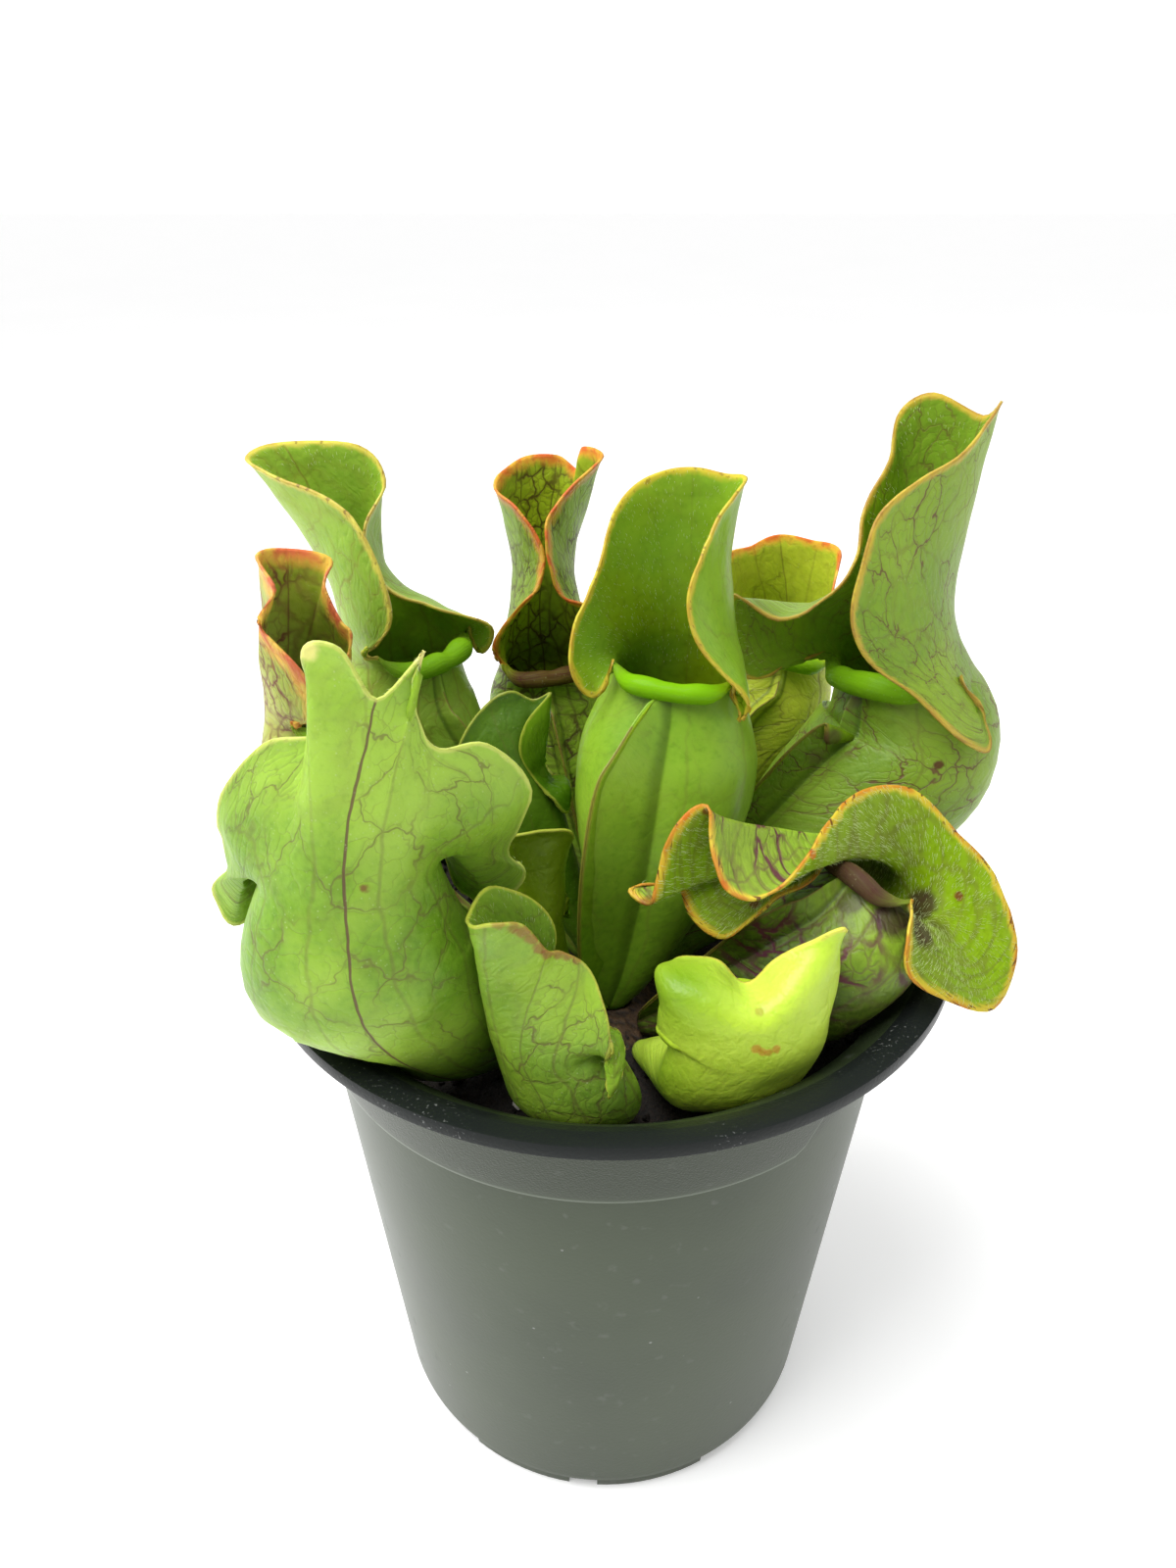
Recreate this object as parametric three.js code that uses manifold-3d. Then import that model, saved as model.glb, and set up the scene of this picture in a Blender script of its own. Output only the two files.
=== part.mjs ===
// A purple pitcher plant in a six-inch nursery pot. The pot has a rolled rim, a stepped collar and
// paired feet. Peat fills it, and a short rhizome with its roots lies in the peat's surface. From the
// rhizome grows a rosette of hollow leaves, each a winged pitcher with a rolled lip and a waved hood.
// Millimetres, +Z up. The camera side of the plant is -Y.
import * as THREE from "three";
import Module from "manifold-3d";
import { ConvexGeometry } from "three/addons/geometries/ConvexGeometry.js";
import { mergeVertices } from "three/addons/utils/BufferGeometryUtils.js";

const wasm = await Module();
wasm.setup();

// ---- driving dimensions ----
const potHeight = 152;
const rimRadius = 82.5;
const rimLip = 3; // height of the flange's outer edge
const rimFace = 3.8; // width of its flat top
const mouthDepth = 7; // the inner wall flares out to the rim over this height
const baseRadius = 58.6; // outer radius at the ground
const wallTaper = 0.0878; // growth of the outer radius per millimetre of height
const wall = 1.4;
const deepCollar = 123; // height of the collar's step, front left and back right
const shallowCollar = 143; // and between those
const collarTop = 75; // outer radius of the collar under the flange
const collarTaper = 0.17;
const floorHeight = 3; // underside of the pot's floor
const footInner = 51;
const footOuter = 57.4;
const footSpans = [[-37, -9.5], [-2, 27]]; // degrees from the front, repeated each quarter turn
const drainRadius = 6;
const drainCircle = 36;
const peatLevel = 128;
const clearance = 0.3; // between pieces that touch
const peatClearance = 0.45; // round the peat and its hole, whose sides are flatter than what they face
const socketClearance = 0.39; // round a leaf's foot, for the same reason
const leafWall = 0.8; // of the tubes
const hoodWall = 0.64; // of the hoods and lips

// ---- small helpers ----
const vec = (p) => new THREE.Vector3(p[0], p[1], p[2]);
const radians = THREE.MathUtils.degToRad;
const spline = (points) => new THREE.CatmullRomCurve3(points.map(vec), false, "catmullrom", 0.5);
const smooth = (x, low, high) => THREE.MathUtils.smoothstep(x, low, high);

function toSolid(geometry) {
  const bare = geometry.clone();
  bare.deleteAttribute("normal");
  bare.deleteAttribute("uv");
  const merged = mergeVertices(bare, 1e-4);
  return new wasm.Manifold(
    new wasm.Mesh({
      numProp: 3,
      vertProperties: new Float32Array(merged.attributes.position.array),
      triVerts: new Uint32Array(merged.index.array),
    }),
  );
}

function toGeometry(solid) {
  const mesh = solid.getMesh();
  const geometry = new THREE.BufferGeometry();
  geometry.setAttribute("position", new THREE.BufferAttribute(new Float32Array(mesh.vertProperties), 3));
  geometry.setIndex(new THREE.BufferAttribute(new Uint32Array(mesh.triVerts), 1));
  geometry.computeVertexNormals();
  return geometry;
}

function lathe(profile, segments) {
  const points = profile.map(([r, z]) => new THREE.Vector2(r, z));
  return new THREE.LatheGeometry(points, segments).rotateX(Math.PI / 2);
}

// ---- the pot ----
const wallRadius = (z) => baseRadius + wallTaper * z;
const insideRadius = (z) => wallRadius(z) - wall;
const collarRadius = (z) => collarTop - collarTaper * (potHeight - rimLip - z);

// The collar is deep over two opposite sectors and shallow between them. Its step sweeps up at their ends.
function collarStep(bearing) {
  const turn = ((bearing % 180) + 180) % 180; // degrees to the right of the front, folded to half a turn
  const shallow = smooth(turn, 35, 42) * (1 - smooth(turn, 76, 84));
  return deepCollar + (shallowCollar - deepCollar) * shallow;
}

function potGeometry() {
  const lipUnderside = potHeight - rimLip;
  const profile = [
    [0, floorHeight], [baseRadius - 2.5, floorHeight], [wallRadius(5), 5],
    [wallRadius(deepCollar), deepCollar], [collarRadius(deepCollar + 1), deepCollar + 1],
    [collarRadius(lipUnderside - 1), lipUnderside - 1], [collarTop + 0.6, lipUnderside],
    [rimRadius, lipUnderside], [rimRadius, potHeight - 0.6], [rimRadius - 0.6, potHeight],
    [rimRadius - rimFace, potHeight], [rimRadius - rimFace - 3, potHeight - 1.6],
    [insideRadius(potHeight - mouthDepth), potHeight - mouthDepth], [insideRadius(6), 6],
    [insideRadius(6) - 2, floorHeight + wall], [0, floorHeight + wall],
  ];
  const geometry = lathe(profile, 48);
  // the step follows its bearing
  const place = geometry.attributes.position;
  for (let i = 0; i < place.count; i++) {
    const [x, y, z] = [place.getX(i), place.getY(i), place.getZ(i)];
    if (Math.abs(z - deepCollar) > 1.5) continue;
    const height = z + collarStep(THREE.MathUtils.radToDeg(Math.atan2(x, -y))) - deepCollar;
    const radius = z > deepCollar + 0.5 ? collarRadius(height) : wallRadius(height);
    const scale = radius / Math.hypot(x, y);
    place.setXYZ(i, x * scale, y * scale, height);
  }
  let solid = toSolid(geometry);
  for (let quarter = 0; quarter < 4; quarter++)
    for (const [from, to] of footSpans)
      solid = solid.add(footSolid(90 * quarter + from, 90 * quarter + to));
  for (const hole of drainHoles()) solid = solid.subtract(hole);
  return toGeometry(solid);
}

// One foot: a low arc under the floor's edge. Bearings run from the front towards the viewer's right.
function footSolid(from, to) {
  const start = radians(from - 90);
  const end = radians(to - 90);
  const outline = new THREE.Shape();
  outline.absarc(0, 0, footOuter, start, end, false);
  outline.absarc(0, 0, footInner, end, start, true);
  const depth = floorHeight + 0.5;
  const foot = new THREE.ExtrudeGeometry(outline, { depth, bevelEnabled: false, curveSegments: 5 });
  return toSolid(foot);
}

function drainHoles() {
  const holes = [[0, 0]];
  for (let quarter = 0; quarter < 4; quarter++) {
    const angle = radians(90 * quarter + 40 - 90); // under the wide gaps between the feet
    holes.push([drainCircle * Math.cos(angle), drainCircle * Math.sin(angle)]);
  }
  return holes.map(([x, y]) => {
    const drill = new THREE.CylinderGeometry(drainRadius, drainRadius, 4 * wall, 16).rotateX(Math.PI / 2);
    return toSolid(drill.translate(x, y, floorHeight + wall / 2));
  });
}

// ---- the rhizome and its roots ----
const rhizomeCentre = [2, -9, 125];
const rhizomeHalf = [12.5, 30, 7];
const rootPaths = [
  [[-4, -20, 124], [-22, -34, 116], [-40, -44, 100], [-46, -40, 78]],
  [[6, -24, 123], [20, -38, 112], [30, -52, 94], [26, -54, 70]],
  [[10, -6, 123], [28, 0, 115], [46, 8, 101], [52, 16, 80]],
  [[6, 12, 123], [18, 28, 114], [26, 46, 98], [20, 54, 72]],
  [[-4, 6, 123], [-20, 18, 113], [-34, 34, 98], [-38, 38, 76]],
  [[-6, -8, 123], [-26, -10, 114], [-48, -4, 98], [-54, 2, 78]],
];
const rootRadius = 1.3;

function rhizomeSolid(grow) {
  const body = new THREE.SphereGeometry(1, 14, 8);
  const place = body.attributes.position;
  for (let i = 0; i < place.count; i++) {
    const p = new THREE.Vector3().fromBufferAttribute(place, i);
    const knobs = 1 + 0.05 * Math.sin(9 * p.y) * Math.cos(4 * p.x) + 0.04 * Math.sin(5 * p.z + 3 * p.y);
    place.setXYZ(
      i,
      rhizomeCentre[0] + p.x * knobs * (rhizomeHalf[0] + grow),
      rhizomeCentre[1] + p.y * knobs * (rhizomeHalf[1] + grow),
      rhizomeCentre[2] + p.z * knobs * (rhizomeHalf[2] + grow),
    );
  }
  let solid = toSolid(body);
  for (const path of rootPaths) {
    const section = new THREE.Shape();
    section.absarc(0, 0, rootRadius + grow, 0, 2 * Math.PI, false);
    const [x, y, z] = path[path.length - 1];
    const route = spline([...path.slice(0, -1), [x, y, z - grow]]);
    const root = new THREE.ExtrudeGeometry(section, { steps: 5, curveSegments: 3, extrudePath: route });
    solid = solid.add(toSolid(root));
  }
  return solid;
}

// ---- the peat ----
function peatGeometry(rhizomeHole) {
  const side = (z) => insideRadius(z) - peatClearance;
  const bottom = floorHeight + wall + clearance;
  const profile = [[0, bottom], [side(6) - 2.2, bottom], [side(7), 7]];
  profile.push([side(peatLevel - 1.5), peatLevel - 1.5]);
  for (const share of [0.97, 0.8, 0.58, 0.33]) profile.push([side(peatLevel) * share, peatLevel]);
  profile.push([0, peatLevel]);
  const geometry = lathe(profile, 26);
  const place = geometry.attributes.position;
  for (let i = 0; i < place.count; i++) {
    const [x, y, z] = [place.getX(i), place.getY(i), place.getZ(i)];
    if (z < peatLevel - 0.1) continue;
    const mounds = 0.7 * Math.sin(x * 0.21 + 1) * Math.cos(y * 0.17);
    place.setZ(i, z + mounds + 0.5 * Math.sin(x * 0.43 - y * 0.37));
  }
  return toGeometry(toSolid(geometry).subtract(rhizomeHole));
}

// ---- the leaves ----
// Angles round a leaf: 0 is its back, 90 the side on the right of someone who faces the wing, 180 the wing.
const wingFlank = 9; // degrees either side of the wing's keel
const tubeRows = [0, 0.14, 0.3, 0.46, 0.62, 0.8, 1];
const hoodRows = [0.2, 0.4, 0.6, 0.8, 1];
const hollowFrom = 3; // the tube row where the pitcher's hollow ends
const socketStep = 30; // degrees between the sides of the hole that a leaf's foot stands in
const hangClear = 3; // how far a hanging lobe stays from the tube
const hoodRise = 0.35; // how far the hood goes on in the tube's own direction
const hoodMiddle = 0.62; // where along the hood its swell counts
const lipCorner = [1.6, 1]; // where the hood's edge meets the lip, up and out from the mouth in lip heights
const lipRoll = [[0.5, 0.1], [1, 0.6], [0.8, 1.2]]; // the lip's own curve, the same way
const mouthStart = 4; // how far below its top the pot's mouth starts to leave more room for a leaf
const mouthSlope = 1.05; // how fast that room grows with height
const freeSlope = 1.4; // and how much faster above the pot

// a leaf that leans on the pot is flattened by it
function insidePot(point) {
  const room = insideRadius(Math.min(point.z, potHeight - mouthDepth)) - leafWall;
  const widening = mouthSlope * Math.max(0, point.z - potHeight + mouthStart);
  const limit = room + widening + freeSlope * Math.max(0, point.z - potHeight);
  const scale = Math.min(1, limit / Math.hypot(point.x, point.y));
  point.x *= scale;
  point.y *= scale;
  return point;
}

function leafSkin(leaf) {
  const path = spline(leaf.path);
  const girth = spline(leaf.girth);
  const bearing = radians(leaf.facing);
  const across = new THREE.Vector3(-Math.sin(bearing), Math.cos(bearing), 0);

  function frameAt(s) {
    const along = path.getTangent(s);
    const side = across.clone().addScaledVector(along, -across.dot(along)).normalize();
    const front = new THREE.Vector3().crossVectors(side, along);
    return { centre: path.getPoint(s), along, side, front };
  }

  function tubePoint(s, angle, wing) {
    const a = radians(angle);
    const { centre, side, front } = frameAt(s);
    const g = girth.getPoint(s);
    const point = centre.addScaledVector(side, g.x * Math.sin(a));
    point.addScaledVector(front, -(Math.cos(a) > 0 ? g.y : g.z) * Math.cos(a));
    if (Math.abs(angle) > 180 - wingFlank / 2) {
      const height = wing * Math.sin(Math.PI * s) ** (leaf.wingRise ?? 1);
      point.addScaledVector(front, height).addScaledVector(side, height * (leaf.wingLean ?? 0));
    }
    return insidePot(point);
  }

  // a place by the mouth: so far up and out from it, in lip heights
  function lipPoint(angle, up, out) {
    const a = radians(angle);
    const { along, side, front } = frameAt(1);
    const outward = side.multiplyScalar(Math.sin(a)).addScaledVector(front, -Math.cos(a));
    const point = tubePoint(1, angle, 0);
    return point.addScaledVector(along, leaf.lip * up).addScaledVector(outward, leaf.lip * out);
  }

  // the hood's edge starts and ends at the corners of the lip
  const corners = [-leaf.span[0], leaf.span[1]].map((angle) => {
    const { x, y, z } = lipPoint(angle, ...lipCorner);
    return [x, y, z, 0.3, 0.3];
  });
  const edgePoints = [corners[0], ...leaf.rim, corners[1]];
  const rim = spline(edgePoints);
  const swells = spline(edgePoints.map((p) => [p[3], p[4], 0]));
  const last = edgePoints.length - 1;
  const crest = leaf.crest + 1;
  const spanOf = (angle) => leaf.span[angle < 0 ? 0 : 1];
  const bendOf = (angle) => (spanOf(angle) + 180 - wingFlank) / 2; // where the rolled lip is at its fullest
  const angles = [-180, wingFlank - 180, -bendOf(-1)];
  for (let i = 0; i <= last; i++) {
    const reach = i < crest ? crest : last - crest;
    angles.push((spanOf(i - crest) * (i - crest)) / reach);
  }
  angles.push(bendOf(1), 180 - wingFlank);

  // the hood's edge with its small waves evened out, which the rest of the hood follows
  function calmEdge(place) {
    const around = Math.min(1.5 / last, place, 1 - place);
    const before = rim.getPoint(place - around);
    const after = rim.getPoint(place + around);
    return before.add(after).multiplyScalar(0.5).lerp(rim.getPoint(place), 0.45);
  }

  // pushes a point that hangs beside the tube out until it is clear of it
  function besideTube(point, gap) {
    let nearest = { distance: Infinity };
    for (let s = 0.4; s < 1.001; s += 0.05) {
      const distance = path.getPoint(s).distanceTo(point);
      if (distance < nearest.distance) nearest = { distance, s };
    }
    const { centre, along, side, front } = frameAt(nearest.s);
    const offset = point.clone().sub(centre);
    if (nearest.s > 0.99 && offset.dot(along) > 0) return point;
    const g = girth.getPoint(nearest.s);
    const [x, y] = [offset.dot(side), offset.dot(front)];
    const depth = y < 0 ? g.y : g.z;
    const share = Math.hypot(x / (g.x + gap), y / (depth + gap));
    if (share < 1) point.addScaledVector(side, x / share - x).addScaledVector(front, y / share - y);
    return point;
  }

  // a curve from the mouth to the hood's edge, or across the front over the rolled lip
  function hoodPoint(t, angle) {
    const a = radians(angle);
    const { side, front } = frameAt(1);
    const root = tubePoint(1, angle, 0);
    const climb = root.clone().sub(tubePoint(0.97, angle, 0)).normalize();
    const outward = side.multiplyScalar(Math.sin(a)).addScaledVector(front, -Math.cos(a));
    const turn = Math.min(1, Math.abs(angle) / spanOf(angle));
    const place = (crest + (angle < 0 ? -crest : last - crest) * turn) / last;
    const swell = swells.getPoint(place);
    const edge = rim.getPoint(place);
    const calm = calmEdge(place);
    const low = root.clone().addScaledVector(climb, calm.distanceTo(root) * hoodRise);
    const high = root.clone().lerp(calm, hoodMiddle).addScaledVector(outward, swell.x);
    high.z += swell.y;
    const rolled = smooth(Math.abs(angle), spanOf(angle), bendOf(angle));
    [low, high, edge].forEach((point, i) => point.lerp(lipPoint(angle, ...lipRoll[i]), rolled));
    const point = new THREE.CubicBezierCurve3(root, low, high, edge).getPoint(t);
    return besideTube(point, hangClear * Math.min(1, 2 * t) * (1 - rolled));
  }
  return { tubePoint, hoodPoint, angles };
}

// a ring-by-ring grid of two triangles a cell, closed round the leaf
function gridFaces(first, rows, count, inward) {
  const faces = [];
  for (let row = 0; row + 1 < rows; row++)
    for (let column = 0; column < count; column++) {
      const next = (column + 1) % count;
      const low = first + row * count;
      const [p, q, x, y] = [low + column, low + next, low + count + column, low + count + next];
      faces.push(...(inward ? [p, q, y, p, y, x] : [p, y, q, p, x, y]));
    }
  return faces;
}

function leafGeometry(leaf) {
  const { tubePoint, hoodPoint, angles } = leafSkin(leaf);
  const count = angles.length;
  const tubeEnd = tubeRows.length - 1;
  const hood = hoodRows.map((t) => angles.map((angle) => hoodPoint(t, angle)));
  const surface = [...tubeRows.map((s) => angles.map((angle) => tubePoint(s, angle, 0))), ...hood].flat();
  const rows = surface.length / count;

  // the direction across the wall at each point, averaged with its neighbours'
  const skin = new THREE.BufferGeometry().setFromPoints(surface);
  skin.setIndex(gridFaces(0, rows, count, false));
  skin.computeVertexNormals();
  const normals = surface.map((p, i) => new THREE.Vector3().fromBufferAttribute(skin.attributes.normal, i));
  function shifted(i, distance) {
    const row = Math.floor(i / count);
    const column = i % count;
    const across = normals[i].clone().multiplyScalar(2);
    for (const step of [1, count - 1]) across.add(normals[row * count + ((column + step) % count)]);
    if (row > 0) across.add(normals[i - count]);
    if (row < rows - 1) across.add(normals[i + count]);
    return surface[i].clone().addScaledVector(across.normalize(), distance);
  }

  // the tube: solid at its foot and hollow above, with the wing on its outer skin
  const points = tubeRows.flatMap((s) => angles.map((angle) => tubePoint(s, angle, leaf.wing)));
  const innerStart = points.length;
  for (let i = hollowFrom * count; i < innerStart; i++) points.push(shifted(i, -leafWall));
  const middle = (s) => tubePoint(s, 0, 0).lerp(tubePoint(s, 180, 0), 0.5);
  const foot = points.push(middle(0)) - 1;
  const well = points.push(middle(tubeRows[hollowFrom])) - 1;
  const faces = gridFaces(0, tubeEnd + 1, count, false);
  faces.push(...gridFaces(innerStart, tubeEnd + 1 - hollowFrom, count, true));
  const edge = tubeEnd * count;
  const innerEdge = innerStart + (tubeEnd - hollowFrom) * count;
  for (let column = 0; column < count; column++) {
    const next = (column + 1) % count;
    faces.push(edge + column, innerEdge + next, edge + next);
    faces.push(edge + column, innerEdge + column, innerEdge + next);
    faces.push(foot, column, next);
    faces.push(well, innerStart + next, innerStart + column);
  }
  const tube = new THREE.BufferGeometry().setFromPoints(points);
  tube.setIndex(faces);

  // the hood and the lip: a thin block for each triangle of their surface, all joined
  const sides = surface.map((p, i) => {
    if (i < edge + count) return [points[i], points[innerEdge + i - edge]];
    return [shifted(i, hoodWall / 2), shifted(i, -hoodWall / 2)];
  });
  const blocks = [];
  const hoodFaces = gridFaces(edge, rows - tubeEnd, count, false);
  for (let i = 0; i < hoodFaces.length; i += 3) {
    const corners = hoodFaces.slice(i, i + 3).flatMap((corner) => sides[corner]);
    blocks.push(toSolid(new ConvexGeometry(corners)));
  }
  // where the folds of a hood meet and close off a small hollow, that hollow is left solid
  const shells = wasm.Manifold.union([toSolid(tube), ...blocks]).decompose();
  return toGeometry(wasm.Manifold.compose(shells.filter((shell) => shell.volume() > 0)));
}

// the hole that a leaf's foot leaves in the rhizome
function socketSolid(leaf) {
  const angles = [-180, wingFlank - 180];
  for (let angle = socketStep - 180; angle < 180; angle += socketStep) angles.push(angle);
  angles.push(180 - wingFlank);
  const flats = Math.cos(radians(socketStep / 2));
  const girth = leaf.girth.map((g) => g.map((v) => v / flats + socketClearance));
  const { tubePoint } = leafSkin({ ...leaf, girth });
  const rows = tubeRows.slice(0, 3).map((s) => angles.map((angle) => tubePoint(s, angle, leaf.wing)));
  const down = vec(leaf.path[1]).sub(vec(leaf.path[0])).setLength(-2 * clearance);
  rows[0].forEach((p) => p.add(down));
  const count = angles.length;
  const points = rows.flat();
  const centre = (row) => row.reduce((sum, p) => sum.add(p), new THREE.Vector3()).divideScalar(count);
  const foot = points.push(centre(rows[0])) - 1;
  const top = points.push(centre(rows[rows.length - 1])) - 1;
  const faces = gridFaces(0, rows.length, count, false);
  const upper = (rows.length - 1) * count;
  for (let column = 0; column < count; column++) {
    const next = (column + 1) % count;
    faces.push(foot, column, next);
    faces.push(top, upper + next, upper + column);
  }
  const geometry = new THREE.BufferGeometry().setFromPoints(points);
  geometry.setIndex(faces);
  return toSolid(geometry);
}

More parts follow.
